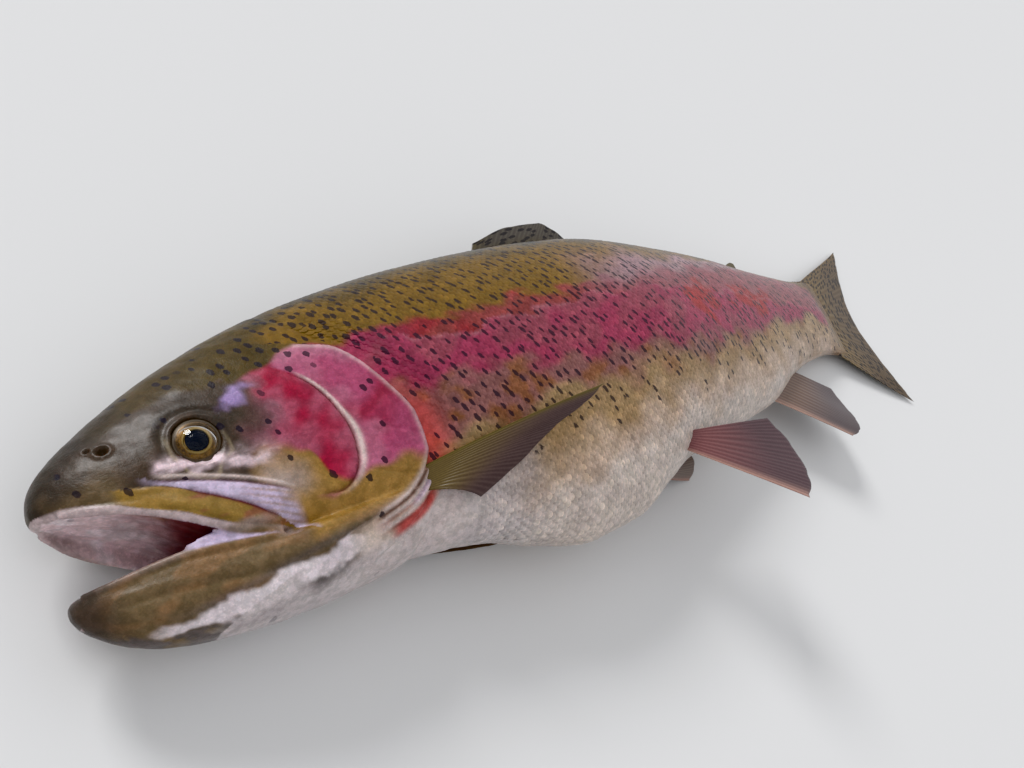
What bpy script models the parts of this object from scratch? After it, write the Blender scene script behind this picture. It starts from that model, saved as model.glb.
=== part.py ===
"""A life-size rainbow trout, a big male with a hooked lower jaw and an open mouth, resting on its right side.

Metres, +Z up. The snout points to -X, the back to +Y, and the left flank faces up. The shape is worked out in
millimetres along the straightened fish: x runs back from the snout, d towards the back and w towards the fish's
left. The whole body is lofted in one piece, parted with thin cuts into head, jaw, gill covers, trunk and tail,
and then laid along the resting line of the backbone.
"""

import math

import bmesh
import bpy
import numpy as np

FORK_LENGTH = 750.0  # snout to the fork of the tail fin
GAP = 0.3  # between pieces that touch
WELD = 0.004  # points closer than this are one
SIDES = ((1, "left"), (-1, "right"))
FLAT = 0.9  # how far the resting side is flattened against the floor
SNOUT = (-0.3987, 0.0306)  # where the snout stands, so that the box is centred on the origin

BODY_SEGMENTS = 32
JAW_SEGMENTS = 20
MOUTH_SEGMENTS = 16

# Backbone line at fractions of the fork length: height over the floor, and shift to the belly side.
REST_AT = (0.0, 0.25, 0.35, 0.50, 0.65, 0.80, 0.90, 1.0, 1.06)
REST_HEIGHT = (38.0, 46.5, 48.5, 49.0, 38.5, 24.5, 15.5, 7.0, 3.0)
SAG_AT = (0.0, 0.25, 0.50, 0.72, 0.90, 1.06)
SAG = (0.0, -5.0, -7.5, -10.0, -19.0, -42.0)

# Body sections: x, back, belly, half width, level of the greatest width, fullness above and below.
BODY = (
    (-1.5, 0.0, -5.5, 3.0, -3.0, 2.0, 2.0),  # tip of the snout
    (0.5, 6.0, -8.0, 8.5, -3.5, 2.0, 2.2),
    (10.0, 17.0, -10.5, 16.5, -4.5, 2.0, 3.6),
    (24.0, 26.5, -15.5, 23.0, -5.0, 2.0, 5.0),  # nostrils
    (45.0, 38.5, -25.0, 29.5, -8.0, 2.1, 6.0),
    (67.0, 49.0, -43.0, 33.5, -12.0, 2.2, 6.0),
    (92.0, 58.5, -56.0, 37.0, -12.0, 2.3, 4.5),  # corner of the mouth
    (112.0, 65.5, -65.0, 39.5, -12.0, 2.3, 3.0),
    (150.0, 75.0, -82.0, 42.5, -11.0, 2.2, 2.2),  # cheek
    (190.0, 82.0, -86.0, 44.5, -8.0, 2.1, 2.1),  # rear edge of the gill cover
    (225.0, 86.5, -92.0, 47.0, -6.0, 2.0, 2.1),
    (255.0, 88.5, -104.0, 49.0, -5.0, 2.0, 2.1),
    (295.0, 90.5, -115.5, 50.0, -4.0, 2.0, 2.1),  # deepest belly
    (332.0, 91.0, -114.0, 50.5, -3.0, 2.0, 2.1),
    (370.0, 89.5, -102.0, 50.0, -1.0, 2.0, 2.1),
    (400.0, 87.0, -92.0, 48.5, 0.0, 2.0, 2.0),  # pelvic fins
    (450.0, 80.0, -84.0, 43.5, 0.0, 2.0, 2.0),
    (540.0, 63.0, -73.0, 33.0, 0.0, 2.0, 2.0),  # front of the anal fin
    (600.0, 48.5, -53.0, 25.0, 0.0, 2.0, 2.0),
    (640.0, 41.5, -43.0, 19.5, 0.0, 2.0, 2.0),  # tail stalk
    (680.0, 37.5, -38.0, 12.5, 0.0, 2.0, 2.0),
    (704.0, 38.5, -38.5, 7.0, 0.0, 2.0, 2.0),  # root of the tail fin
)

# Lower jaw, in the same columns, from the hooked tip to its hinge under the cheeks.
JAW = (
    (0.5, -50.5, -55.5, 3.0, -53.0, 2.0, 2.0),
    (3.0, -48.0, -61.0, 7.0, -54.0, 2.2, 2.0),
    (9.0, -47.5, -67.5, 12.0, -55.0, 2.6, 2.0),
    (20.0, -48.5, -75.5, 17.0, -57.0, 3.0, 2.0),
    (45.0, -47.0, -84.0, 24.0, -57.0, 3.2, 2.1),
    (70.0, -52.0, -88.0, 30.0, -60.0, 3.0, 2.1),
    (95.0, -55.0, -89.5, 34.5, -63.0, 2.6, 2.2),
    (125.0, -52.0, -89.0, 38.0, -64.0, 2.4, 2.2),
    (165.0, -50.0, -86.0, 37.0, -60.0, 2.2, 2.2),
)

# The open mouth, in the same columns: palate, floor and cheeks of the hollow.
MOUTH = (
    (5.0, -4.5, -57.0, 5.0, -30.0, 2.2, 2.0),
    (13.0, -4.5, -62.0, 12.0, -30.0, 2.6, 2.0),
    (30.0, -7.0, -67.0, 19.5, -30.0, 2.8, 2.0),
    (60.0, -15.0, -73.0, 27.5, -36.0, 2.8, 2.0),
    (90.0, -22.0, -76.0, 31.5, -44.0, 2.4, 2.0),
    (120.0, -32.0, -73.0, 26.0, -52.0, 2.0, 2.0),
    (142.0, -44.0, -62.0, 12.0, -53.0, 2.0, 2.0),
)

EYE_CENTRE = (75.0, -0.3, 30.0)
EYE_RADIUS = 12.3
EYE_DEPTH = 7.5

# Side outlines (x, d) of the plates of the head.
GILL_COVER = ((131, 24), (150, 33), (168, 27), (182, 0), (190, -26), (186, -43), (170, -58), (146, -62), (141, -49),
              (150, -31), (149, -11), (140, 6))
MAXILLA = ((37, -12.5), (51, -17.5), (67, -29), (82, -41), (93, -49.5), (98, -53), (92, -55.5), (76, -48),
           (58, -40), (43, -31), (33, -22))
GILL_COVER_INNER = 20.0  # distance of the plate's inner face from the middle of the head
MAXILLA_INNER = 17.0

# Lines (x, d) of the cuts seen from the side.
JAW_CUT = ((-30, -30), (40, -36), (70, -47), (93, -57), (122, -112), (-30, -112))
THROAT_CUT = ((93, -57), (128, -63), (164, -66), (164, -112), (122, -112))
HEAD_END, TRUNK_MIDDLE, STALK_START = 162.0, 385.0, 575.0

# Fins: ends of the root, then the ray tips from the leading ray to the last, all as (x, d, w).
FINS = {
    "dorsal_fin": dict(root=((314, 82, 0), (408, 78, 0)), bulge=0.0,
                       tips=((327, 100, 0), (366, 108.5, 1), (393, 108, 2), (404, 100, 2), (414, 90, 1))),
    "adipose_fin": dict(root=((582, 48, 0), (598, 45, 0)), bulge=0.0,
                        tips=((599, 57, 1), (606, 59, 1), (610, 57, 1), (610, 52, 1), (606, 48, 0))),
    "anal_fin": dict(root=((540, -66, 0), (602, -48, 0)), bulge=0.0,
                     tips=((612, -119, 13), (626, -117, 13), (636, -106, 11), (641, -90, 7), (642, -72, 3))),
    "tail_fin": dict(root=((694, 36, 0), (694, -36, 0)), bulge=0.0,
                     tips=((788, 82, 0), (773, 56, 1), (757, 0, 1), (773, -58, 1), (789, -86, 0))),
    "pectoral_fin_left": dict(root=((184, -48, 36), (182, -61, 31)), bulge=5.0,
                              tips=((306, -42, 59), (288, -49, 56), (261, -56, 50), (236, -65, 43), (206, -75, 35))),
    "pectoral_fin_right": dict(root=((184, -48, -36), (182, -61, -31)), bulge=-4.0,
                               tips=((303, -72, -45.5), (288, -82, -46), (262, -87, -45.5), (236, -84, -44),
                                     (208, -78, -40))),
    "pelvic_fin_left": dict(root=((384, -88, 18), (393, -80, 26)), bulge=0.0,
                            tips=((425, -154, 52), (438, -146, 50), (450, -130, 46), (457, -108, 42),
                                  (456, -92, 38))),
    "pelvic_fin_right": dict(root=((384, -88, -18), (393, -80, -26)), bulge=-4.0,
                             tips=((452, -98, -41), (461, -93, -40.5), (467, -84, -39), (467, -74, -37.5),
                                   (460, -66, -36.5))),
}
FIN_ROOT_THICKNESS = 3.2
FIN_EDGE_THICKNESS = 1.1
RAYS_ACROSS, RAY_STEPS = 9, 6

# Colour, roughness and metallic value of each kind of surface.
BACK_SKIN = ((0.20, 0.17, 0.05), 0.28, 0.0)
ROSE_SKIN = ((0.50, 0.12, 0.13), 0.28, 0.0)
OLIVE_SKIN = ((0.26, 0.22, 0.08), 0.30, 0.0)
PALE_SKIN = ((0.52, 0.48, 0.42), 0.30, 0.0)
FIN_SKIN = ((0.24, 0.19, 0.14), 0.35, 0.0)
EYE = ((0.35, 0.22, 0.05), 0.05, 0.0)


def curve(stations, values, at):
    """A smooth curve through the values with no overshoot between the stations."""
    stations, values = np.asarray(stations, float), np.asarray(values, float)
    step = np.diff(stations)
    rise = np.diff(values) / step
    slope = np.empty_like(values)
    slope[0], slope[-1] = rise[0], rise[-1]
    before, after = 2 * step[1:] + step[:-1], step[1:] + 2 * step[:-1]
    same_way = rise[:-1] * rise[1:] > 0
    safe = np.where(same_way, rise[:-1] * rise[1:], 1.0)
    mean = (before + after) * safe / (before * rise[1:] + after * rise[:-1] + (~same_way))
    slope[1:-1] = np.where(same_way, mean, 0.0)
    at = np.asarray(at, float)
    inside = np.clip(at, stations[0], stations[-1])
    i = np.clip(np.searchsorted(stations, inside) - 1, 0, len(step) - 1)
    t = (inside - stations[i]) / step[i]
    h = step[i]
    value = ((2 * t**3 - 3 * t**2 + 1) * values[i] + (t**3 - 2 * t**2 + t) * h * slope[i]
             + (3 * t**2 - 2 * t**3) * values[i + 1] + (t**3 - t**2) * h * slope[i + 1])
    beyond = at - inside
    return value + beyond * np.where(beyond < 0, slope[0], slope[-1])


def section(table, x, segments, grow=0.0):
    """One ring (x, d, w) of a lofted shape, with its upper and lower halves each of their own fullness."""
    columns = np.array(table, float).T
    back, belly, half, beam, above, below = (curve(columns[0], column, x) for column in columns[1:])
    angle = 2 * math.pi * np.arange(segments) / segments
    side, up = np.cos(angle), np.sin(angle)
    power = 2.0 / np.where(up >= 0, above, below)
    w = (half + grow) * np.sign(side) * np.abs(side) ** power
    height = np.where(up >= 0, back + grow - beam, beam - belly + grow)
    d = beam + height * np.sign(up) * np.abs(up) ** power
    return np.column_stack([np.full(segments, x), d, w])


def make_object(name, points, faces):
    """A mesh object from points in millimetres along the straightened fish, with its faces turned outwards."""
    mesh = bpy.data.meshes.new(name)
    mesh.from_pydata([tuple(point) for point in points], [], faces)
    obj = bpy.data.objects.new(name, mesh)
    bpy.context.scene.collection.objects.link(obj)
    tidy(mesh)
    corners = [[mesh.vertices[v].co for v in face.vertices] for face in mesh.polygons]
    if sum(a.dot(b.cross(c)) for a, b, c in corners) < 0:
        mesh.flip_normals()
    return obj


def tidy(mesh):
    """Joins points that a cut left closer than a few microns, and splits every face into flat triangles."""
    work = bmesh.new()
    work.from_mesh(mesh)
    bmesh.ops.remove_doubles(work, verts=work.verts, dist=WELD)
    bmesh.ops.dissolve_degenerate(work, edges=work.edges, dist=WELD)
    bmesh.ops.triangulate(work, faces=work.faces)
    work.to_mesh(mesh)
    work.free()


def loft(name, table, xs, segments, grow=0.0):
    """A closed solid through the sections at xs."""
    rings = [section(table, x, segments, grow) for x in xs]
    count = len(rings)
    faces = []
    for r in range(count - 1):
        for k in range(segments):
            n = (k + 1) % segments
            faces.append((r * segments + k, r * segments + n, (r + 1) * segments + n, (r + 1) * segments + k))
    faces.append(tuple(reversed(range(segments))))
    faces.append(tuple((count - 1) * segments + k for k in range(segments)))
    return make_object(name, np.concatenate(rings), faces)


def rounded(points, steps=3):
    """A smooth closed outline through the given corners."""
    points = np.array(points, float)
    count = len(points)
    outline = []
    for i in range(count):
        p0, p1, p2, p3 = (points[(i + k - 1) % count] for k in range(4))
        for t in np.arange(steps) / steps:
            outline.append(0.5 * (2 * p1 + (p2 - p0) * t + (2 * p0 - 5 * p1 + 4 * p2 - p3) * t**2
                                  + (3 * p1 - p0 - 3 * p2 + p3) * t**3))
    return np.array(outline)


def finely(outline, step=12.0):
    """The same straight-sided outline with points along its sides, so that it can bend with the fish."""
    outline = np.array(outline, float)
    points = []
    for start, end in zip(outline, np.roll(outline, -1, 0)):
        pieces = max(1, int(np.linalg.norm(end - start) / step))
        points += [start + (end - start) * k / pieces for k in range(pieces)]
    return np.array(points)


def grown(outline, by):
    """The outline moved outwards."""
    ahead, behind = np.roll(outline, -1, 0), np.roll(outline, 1, 0)
    along = ahead - behind
    normal = np.column_stack([along[:, 1], -along[:, 0]])
    normal /= np.linalg.norm(normal, axis=1)[:, None]
    turns = np.sum(outline[:, 0] * np.roll(outline[:, 1], -1) - outline[:, 1] * np.roll(outline[:, 0], -1))
    return outline + normal * by * (1 if turns > 0 else -1)


def prism(name, outline, low, high):
    """The outline (x, d) run through the fish from w = low to w = high."""
    count = len(outline)
    points = [(x, d, w) for w in (low, high) for x, d in outline]
    faces = [tuple(reversed(range(count))), tuple(count + k for k in range(count))]
    for k in range(count):
        n = (k + 1) % count
        faces.append((k, n, count + n, count + k))
    return make_object(name, points, faces)


def slab(name, low, high):
    """All of the fish between two stations."""
    reach = 300.0
    return prism(name, np.array([(low, -reach), (high, -reach), (high, reach), (low, reach)], float), -reach, reach)


def remove(*objects):
    for obj in objects:
        bpy.data.objects.remove(obj, do_unlink=True)


def copy_of(obj, name):
    twin = obj.copy()
    twin.data = obj.data.copy()
    twin.name = name
    bpy.context.scene.collection.objects.link(twin)
    return twin


def combine(obj, operation, *tools):
    """Runs a Boolean with each tool in turn and keeps the result as a plain mesh. The tools are used up."""
    for tool in tools:
        modifier = obj.modifiers.new("combine", "BOOLEAN")
        modifier.operation = operation
        modifier.solver = "EXACT"
        modifier.object = tool
        graph = bpy.context.evaluated_depsgraph_get()
        result = bpy.data.meshes.new_from_object(obj.evaluated_get(graph))
        obj.modifiers.clear()
        obj.data = result
        tidy(result)
        remove(tool)
    return obj


def body_stations():
    head = np.concatenate([[-1.5, 0.5, 4.0, 10.0, 17.0], np.arange(24.0, 166.0, 12.8)])
    trunk = np.arange(178.0, 600.0, 22.0)
    tail = (606.0, 624.0, 642.0, 660.0, 680.0, 704.0)
    return np.concatenate([head, trunk, tail])


def body_solid(name, grow=0.0):
    return loft(name, BODY, body_stations(), BODY_SEGMENTS, grow)


def mouth_solid(name):
    xs = (5.0, 9.0, 13.0, 20.0, 30.0, 45.0, 60.0, 75.0, 90.0, 105.0, 120.0, 132.0, 142.0)
    return loft(name, MOUTH, xs, MOUTH_SEGMENTS)


def plate_tool(name, corners, inner, side, grow=0.0):
    """A cutter for one of the head's side plates, from its inner face to well outside the skin."""
    outline = grown(rounded(corners), grow)
    low, high = sorted((side * (inner - grow), side * 90.0))
    return prism(name, outline, low, high)


def eye_solid(name, side, grow=0.0):
    """A flattened ball whose face follows the slope of the head."""
    rings, segments = 7, 16
    points = [(0.0, 0.0, 1.0)]
    for r in range(1, rings):
        polar = math.pi * r / rings
        for k in range(segments):
            turn = 2 * math.pi * k / segments
            points.append((math.sin(polar) * math.cos(turn), math.sin(polar) * math.sin(turn), math.cos(polar)))
    points.append((0.0, 0.0, -1.0))
    last = len(points) - 1
    faces = [(0, 1 + k, 1 + (k + 1) % segments) for k in range(segments)]
    for r in range(rings - 2):
        for k in range(segments):
            a, b = 1 + r * segments + k, 1 + r * segments + (k + 1) % segments
            faces.append((a, a + segments, b + segments, b))
    start = 1 + (rings - 2) * segments
    faces += [(start + k, last, start + (k + 1) % segments) for k in range(segments)]
    ball = np.array(points) * (EYE_RADIUS + grow, EYE_RADIUS + grow, EYE_DEPTH + grow)
    forward = math.radians(9.0)
    x = ball[:, 0] * math.cos(forward) - ball[:, 2] * math.sin(forward)
    w = ball[:, 0] * math.sin(forward) + ball[:, 2] * math.cos(forward)
    placed = np.column_stack([x + EYE_CENTRE[0], ball[:, 1] + EYE_CENTRE[1], side * (w + EYE_CENTRE[2])])
    return make_object(name, placed, faces)


def fin_solid(name, root, tips, bulge):
    """A thin fan from the root to the ray tips, thick at the root and fine at the edge, and bowed by the bulge."""
    across = np.linspace(0, 1, RAYS_ACROSS)
    along = np.linspace(0, 1, RAY_STEPS)
    tips = np.array(tips, float)
    stations = np.linspace(0, 1, len(tips))
    edge = np.column_stack([curve(stations, tips[:, k], across) for k in range(3)])
    start = np.array(root[0])[None] * (1 - across)[:, None] + np.array(root[1])[None] * across[:, None]
    grid = start[:, None] * (1 - along)[None, :, None] + edge[:, None] * along[None, :, None]
    grid[:, :, 2] += bulge * 4 * along * (1 - along)
    normal = np.cross(np.gradient(grid, axis=0), np.gradient(grid, axis=1))
    normal /= np.linalg.norm(normal, axis=2)[..., None]
    thick = FIN_ROOT_THICKNESS + (FIN_EDGE_THICKNESS - FIN_ROOT_THICKNESS) * along
    offset = normal * thick[None, :, None] / 2
    points = np.concatenate([(grid + offset).reshape(-1, 3), (grid - offset).reshape(-1, 3)])
    size = RAYS_ACROSS * RAY_STEPS
    faces = []
    for i in range(RAYS_ACROSS - 1):
        for j in range(RAY_STEPS - 1):
            a, b = i * RAY_STEPS + j, (i + 1) * RAY_STEPS + j
            faces.append((a, b, b + 1, a + 1))
            faces.append((size + a, size + a + 1, size + b + 1, size + b))
    rim = [i * RAY_STEPS for i in range(RAYS_ACROSS)]
    rim += [(RAYS_ACROSS - 1) * RAY_STEPS + j for j in range(1, RAY_STEPS)]
    rim += [i * RAY_STEPS + RAY_STEPS - 1 for i in reversed(range(RAYS_ACROSS - 1))]
    rim += [j for j in reversed(range(1, RAY_STEPS - 1))]
    for a, b in zip(rim, rim[1:] + rim[:1]):
        faces.append((a, size + a, size + b, b))
    return make_object(name, points, faces)


def backbone(x):
    """Point, direction, back-ward and left-ward vectors of the resting line, in millimetres."""
    fraction = np.linspace(-0.02, 1.08, 221)
    height = curve(REST_AT, REST_HEIGHT, fraction)
    sag = curve(SAG_AT, SAG, fraction)
    step = FORK_LENGTH * (fraction[1] - fraction[0])
    run = np.sqrt(step**2 - np.diff(height) ** 2 - np.diff(sag) ** 2)
    reach = np.concatenate([[0.0], np.cumsum(run)])
    reach -= np.interp(0.0, fraction, reach)
    line = np.column_stack([reach, sag, height])
    tangent = np.gradient(line, axis=0)
    at = np.asarray(x, float) / FORK_LENGTH
    point = np.column_stack([np.interp(at, fraction, line[:, k]) for k in range(3)])
    along = np.column_stack([np.interp(at, fraction, tangent[:, k]) for k in range(3)])
    along /= np.linalg.norm(along, axis=1)[:, None]
    back = np.cross((0.0, 0.0, 1.0), along)
    back /= np.linalg.norm(back, axis=1)[:, None]
    return point, back, np.cross(along, back)


def lay_down(obj):
    """Moves a piece from the straightened fish to its resting place, flat where it meets the floor, in metres."""
    points, mesh = coordinates(obj), obj.data
    centre, back, left = backbone(points[:, 0])
    placed = centre + back * points[:, 1:2] + left * points[:, 2:3] - (0.0, 0.0, FLAT)
    mesh.vertices.foreach_set("co", placed.ravel())
    if placed[:, 2].min() < 0:
        square = np.array([(-900, -900), (900, -900), (900, 900), (-900, 900)], float)
        combine(obj, "DIFFERENCE", prism("floor", square, -50.0, 0.0))
    placed = coordinates(obj) / 1000.0
    placed[:, :2] += SNOUT
    obj.data.vertices.foreach_set("co", placed.ravel())
    obj.data.update()


def coordinates(obj):
    points = np.empty(3 * len(obj.data.vertices))
    obj.data.vertices.foreach_get("co", points)
    return points.reshape(-1, 3)


def finish(obj, name, looks):
    """Names the piece, smooths its shading and gives it its own material."""
    colour, roughness, metallic = looks
    lay_down(obj)
    obj.name = name
    obj.data.name = name
    material = bpy.data.materials.new(name)
    material.use_nodes = True
    shader = material.node_tree.nodes["Principled BSDF"]
    shader.inputs["Base Color"].default_value = (*colour, 1)
    shader.inputs["Roughness"].default_value = roughness
    shader.inputs["Metallic"].default_value = metallic
    obj.data.materials.clear()
    obj.data.materials.append(material)
    obj.data.shade_smooth()
    obj.data.set_sharp_from_angle(angle=math.radians(40))


def whole_fish():
    """Head, jaw and trunk in one, with the eye sockets and the open mouth hollowed out."""
    whole = body_solid("whole")
    combine(whole, "DIFFERENCE", eye_solid("socket", 1, GAP), eye_solid("socket", -1, GAP))
    jaw_xs = np.concatenate([[0.5, 3.0, 6.0, 9.0, 14.0], np.arange(20.0, 166.0, 14.5)])
    combine(whole, "UNION", loft("jaw", JAW, jaw_xs, JAW_SEGMENTS))
    return combine(whole, "DIFFERENCE", mouth_solid("mouth"))


def make_plates(whole):
    """Cuts the gill covers and the upper jaw's side plates out of the whole."""
    for kind, corners, inner, looks in (("gill_cover", GILL_COVER, GILL_COVER_INNER, ROSE_SKIN),
                                        ("maxilla", MAXILLA, MAXILLA_INNER, OLIVE_SKIN)):
        for side, word in SIDES:
            plate = combine(copy_of(whole, kind), "INTERSECT", plate_tool("keep", corners, inner, side))
            combine(whole, "DIFFERENCE", plate_tool("cut", corners, inner, side, GAP))
            finish(plate, f"{kind}_{word}", looks)


def make_lengths(whole):
    """Parts what is left into lower jaw, throat, head, trunk and the stalk of the tail."""
    half_gap = GAP / 2
    for name, outline, looks in (("lower_jaw", JAW_CUT, OLIVE_SKIN), ("throat", THROAT_CUT, PALE_SKIN)):
        line = finely(outline)
        piece = combine(copy_of(whole, name), "INTERSECT", prism("keep", grown(line, -half_gap), -90.0, 90.0))
        combine(whole, "DIFFERENCE", prism("cut", grown(line, half_gap), -90.0, 90.0))
        finish(piece, name, looks)
    for name, low, high, looks in (
        ("head", -100.0, HEAD_END, BACK_SKIN),
        ("trunk_front", HEAD_END, TRUNK_MIDDLE, ROSE_SKIN),
        ("trunk_rear", TRUNK_MIDDLE, STALK_START, ROSE_SKIN),
        ("tail_stalk", STALK_START, 800.0, BACK_SKIN),
    ):
        piece = combine(copy_of(whole, name), "INTERSECT", slab("keep", low + half_gap, high - half_gap))
        finish(piece, name, looks)


def make_eyes():
    for side, word in SIDES:
        finish(eye_solid("eye", side), f"eye_{word}", EYE)


def make_fins():
    for name, shape in FINS.items():
        fin = fin_solid(name, **shape)
        combine(fin, "DIFFERENCE", body_solid("cut", GAP))
        finish(fin, name, FIN_SKIN)


def main():
    remove(*list(bpy.data.objects))
    whole = whole_fish()
    make_plates(whole)
    make_lengths(whole)
    make_eyes()
    make_fins()
    remove(whole)


main()
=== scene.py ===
"""The finished surface of a life-size rainbow trout: a big male with a hooked lower jaw, resting on its right side.

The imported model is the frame. Every shape is worked out in millimetres along the straightened fish, where x runs
back from the snout, d towards the back and w towards the fish's left, and is then laid along the resting line of
the backbone, in metres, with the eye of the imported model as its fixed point.
"""

import math
from contextlib import contextmanager

import bmesh
import bpy
import numpy as np
from mathutils import Matrix, Vector


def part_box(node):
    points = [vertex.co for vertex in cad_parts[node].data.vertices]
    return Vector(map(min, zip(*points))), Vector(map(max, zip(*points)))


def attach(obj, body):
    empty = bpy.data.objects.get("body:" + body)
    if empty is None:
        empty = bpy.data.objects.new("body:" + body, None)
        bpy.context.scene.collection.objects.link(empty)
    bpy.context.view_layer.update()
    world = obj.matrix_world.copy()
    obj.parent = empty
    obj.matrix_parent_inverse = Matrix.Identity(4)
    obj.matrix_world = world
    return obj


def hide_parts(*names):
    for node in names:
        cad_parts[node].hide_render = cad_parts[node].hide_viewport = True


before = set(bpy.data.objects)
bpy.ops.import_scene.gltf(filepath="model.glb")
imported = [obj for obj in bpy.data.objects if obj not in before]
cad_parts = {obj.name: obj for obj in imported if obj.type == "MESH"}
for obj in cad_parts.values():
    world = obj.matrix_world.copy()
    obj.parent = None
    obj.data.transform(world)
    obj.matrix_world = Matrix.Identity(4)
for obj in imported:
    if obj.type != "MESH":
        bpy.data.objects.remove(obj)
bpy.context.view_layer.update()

FORK_LENGTH = 750.0
BODY_END = 704.0
SIDES = ((1, "left"), (-1, "right"))
FLAT = 0.9  # how far the side on the floor is pressed flat
COAT_DEPTH = 0.5  # the scales' thickness over the skin
FLOOR_CLEARANCE = 0.05

# Backbone line at fractions of the fork length: height over the floor, and shift to the belly side.
REST_AT = (0, 0.25, 0.35, 0.5, 0.65, 0.8, 0.9, 1, 1.06)
REST_HEIGHT = (38, 46.5, 48.5, 49, 38.5, 24.5, 15.5, 7, 3)
SAG_AT = (0, 0.25, 0.5, 0.72, 0.9, 1.06)
SAG = (0, -5, -7.5, -10, -19, -42)

# Sections: x, back, belly, half width, level of the greatest width, fullness above and below.
BODY = (
    (-1.5, 0, -5.5, 3, -3, 2, 2),
    (0.5, 6, -8, 8.5, -3.5, 2, 2.2),
    (10, 17, -10.5, 16.5, -4.5, 2, 3.6),
    (24, 26.5, -15.5, 23, -5, 2, 5),
    (45, 38.5, -25, 29.5, -8, 2.1, 6),
    (67, 49, -43, 33.5, -12, 2.2, 6),
    (92, 58.5, -56, 37, -12, 2.3, 4.5),
    (112, 65.5, -65, 39.5, -12, 2.3, 3),
    (150, 75, -82, 42.5, -11, 2.2, 2.2),
    (190, 82, -86, 44.5, -8, 2.1, 2.1),
    (225, 86.5, -92, 47, -6, 2, 2.1),
    (255, 88.5, -104, 49, -5, 2, 2.1),
    (295, 90.5, -115.5, 50, -4, 2, 2.1),
    (332, 91, -114, 50.5, -3, 2, 2.1),
    (370, 89.5, -102, 50, -1, 2, 2.1),
    (400, 87, -92, 48.5, 0, 2, 2),
    (450, 80, -84, 43.5, 0, 2, 2),
    (540, 63, -73, 33, 0, 2, 2),
    (600, 48.5, -53, 25, 0, 2, 2),
    (640, 41.5, -43, 19.5, 0, 2, 2),
    (680, 37.5, -38, 12.5, 0, 2, 2),
    (BODY_END, 38.5, -38.5, 7, 0, 2, 2),
)
JAW = (
    (0.5, -50.5, -55.5, 3, -53, 2, 2),
    (3, -48, -61, 7, -54, 2.2, 2),
    (9, -47.5, -67.5, 12, -55, 2.6, 2),
    (20, -48.5, -75.5, 17, -57, 3, 2),
    (45, -47, -84, 24, -57, 3.2, 2.1),
    (70, -52, -88, 30, -60, 3, 2.1),
    (95, -55, -89.5, 34.5, -63, 2.6, 2.2),
    (125, -52, -89, 38, -64, 2.4, 2.2),
    (165, -50, -86, 37, -60, 2.2, 2.2),
    (184, -56, -76, 30, -64, 2.2, 2.2),
)
MOUTH = (
    (5, -4.5, -57, 5, -30, 2.2, 2),
    (13, -4.5, -62, 12, -30, 2.6, 2),
    (30, -7, -67, 19.5, -30, 2.8, 2),
    (60, -15, -73, 27.5, -36, 2.8, 2),
    (90, -22, -76, 31.5, -44, 2.4, 2),
    (120, -32, -73, 26, -52, 2, 2),
    (142, -44, -62, 12, -53, 2, 2),
)
EYE_CENTRE = (75.0, -0.3, 30.0)
EYE_RADIUS = 12.3
EYE_DEPTH = 7.5
EYE_FORWARD = math.radians(9.0)

# Lines (x, d) on the side of the head.
GILL_EDGE = ((139, 40), (150, 36), (162, 31), (172, 19), (181, 0), (188, -22), (187, -40), (180, -51), (166, -60),
             (148, -65), (128, -69), (108, -74))
CHEEK_CREASE = ((127, 26), (134, 20), (141.5, 10), (147, -4), (149.5, -20), (147.5, -34), (141, -44), (132, -48),
                (120, -46))
PLATE_SEAM = ((152, -26), (166, -24), (178, -28), (188, -34))
LOWER_SEAM = ((146, -40), (158, -45), (172, -50), (181, -52))
MAXILLA_TOP = ((36, -12), (51, -16.5), (67, -26.5), (84, -38.5), (97, -49))
MAXILLA_LIP = ((2, -6.5), (12, -9), (26, -15), (40, -23.5), (54, -31), (67, -40), (80, -47.5), (97, -53))
CHEEK_STRIPE = ((47, -7), (56, -8.5), (73, -13), (88, -15.5), (103, -17), (115, -19))
FOLD_LINE = ((47, -11), (52, -13), (68, -18.5), (86, -26), (99, -33), (111, -40))
NOSTRILS = ((34.0, 11.0, 1.1), (28.5, 14.0, 0.6))  # x, d, size
JAW_BAND = ((10, -74), (27, -76), (49, -77.5), (68, -77), (92, -74.5), (115, -72), (137, -70.5), (150, -69))
JAW_GROOVE = ((8, -60), (30, -63), (60, -68), (90, -73), (118, -76))
MEMBRANE_EDGE = ((183, -58), (177, -66), (166, -73), (150, -81), (134, -87))
MEMBRANE_FOLDS = (3.4, 7.4)  # distances under the gill cover's edge


# ---------------------------------------------------------------- curves along the fish

def curve(stations, values, at):
    """A smooth curve through the values with no overshoot between the stations."""
    stations, values, at = (np.asarray(each, float) for each in (stations, values, at))
    step = np.diff(stations)
    rise = np.diff(values) / step
    slope = np.empty_like(values)
    slope[0], slope[-1] = rise[0], rise[-1]
    before, after = 2 * step[1:] + step[:-1], step[1:] + 2 * step[:-1]
    product = rise[:-1] * rise[1:]
    same_way = product > 0
    mean = (before + after) * np.where(same_way, product, 1.0) / (
        before * rise[1:] + after * rise[:-1] + (~same_way))
    slope[1:-1] = np.where(same_way, mean, 0.0)
    inside = np.clip(at, stations[0], stations[-1])
    i = np.clip(np.searchsorted(stations, inside) - 1, 0, len(step) - 1)
    h = step[i]
    t = (inside - stations[i]) / h
    value = ((2 * t**3 - 3 * t**2 + 1) * values[i] + (t**3 - 2 * t**2 + t) * h * slope[i]
             + (3 * t**2 - 2 * t**3) * values[i + 1] + (t**3 - t**2) * h * slope[i + 1])
    beyond = at - inside
    return value + beyond * np.where(beyond < 0, slope[0], slope[-1])


def evenly(values, at):
    """A smooth curve through values that are spaced evenly from 0 to 1."""
    return curve(np.linspace(0, 1, len(values)), values, at)


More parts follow.
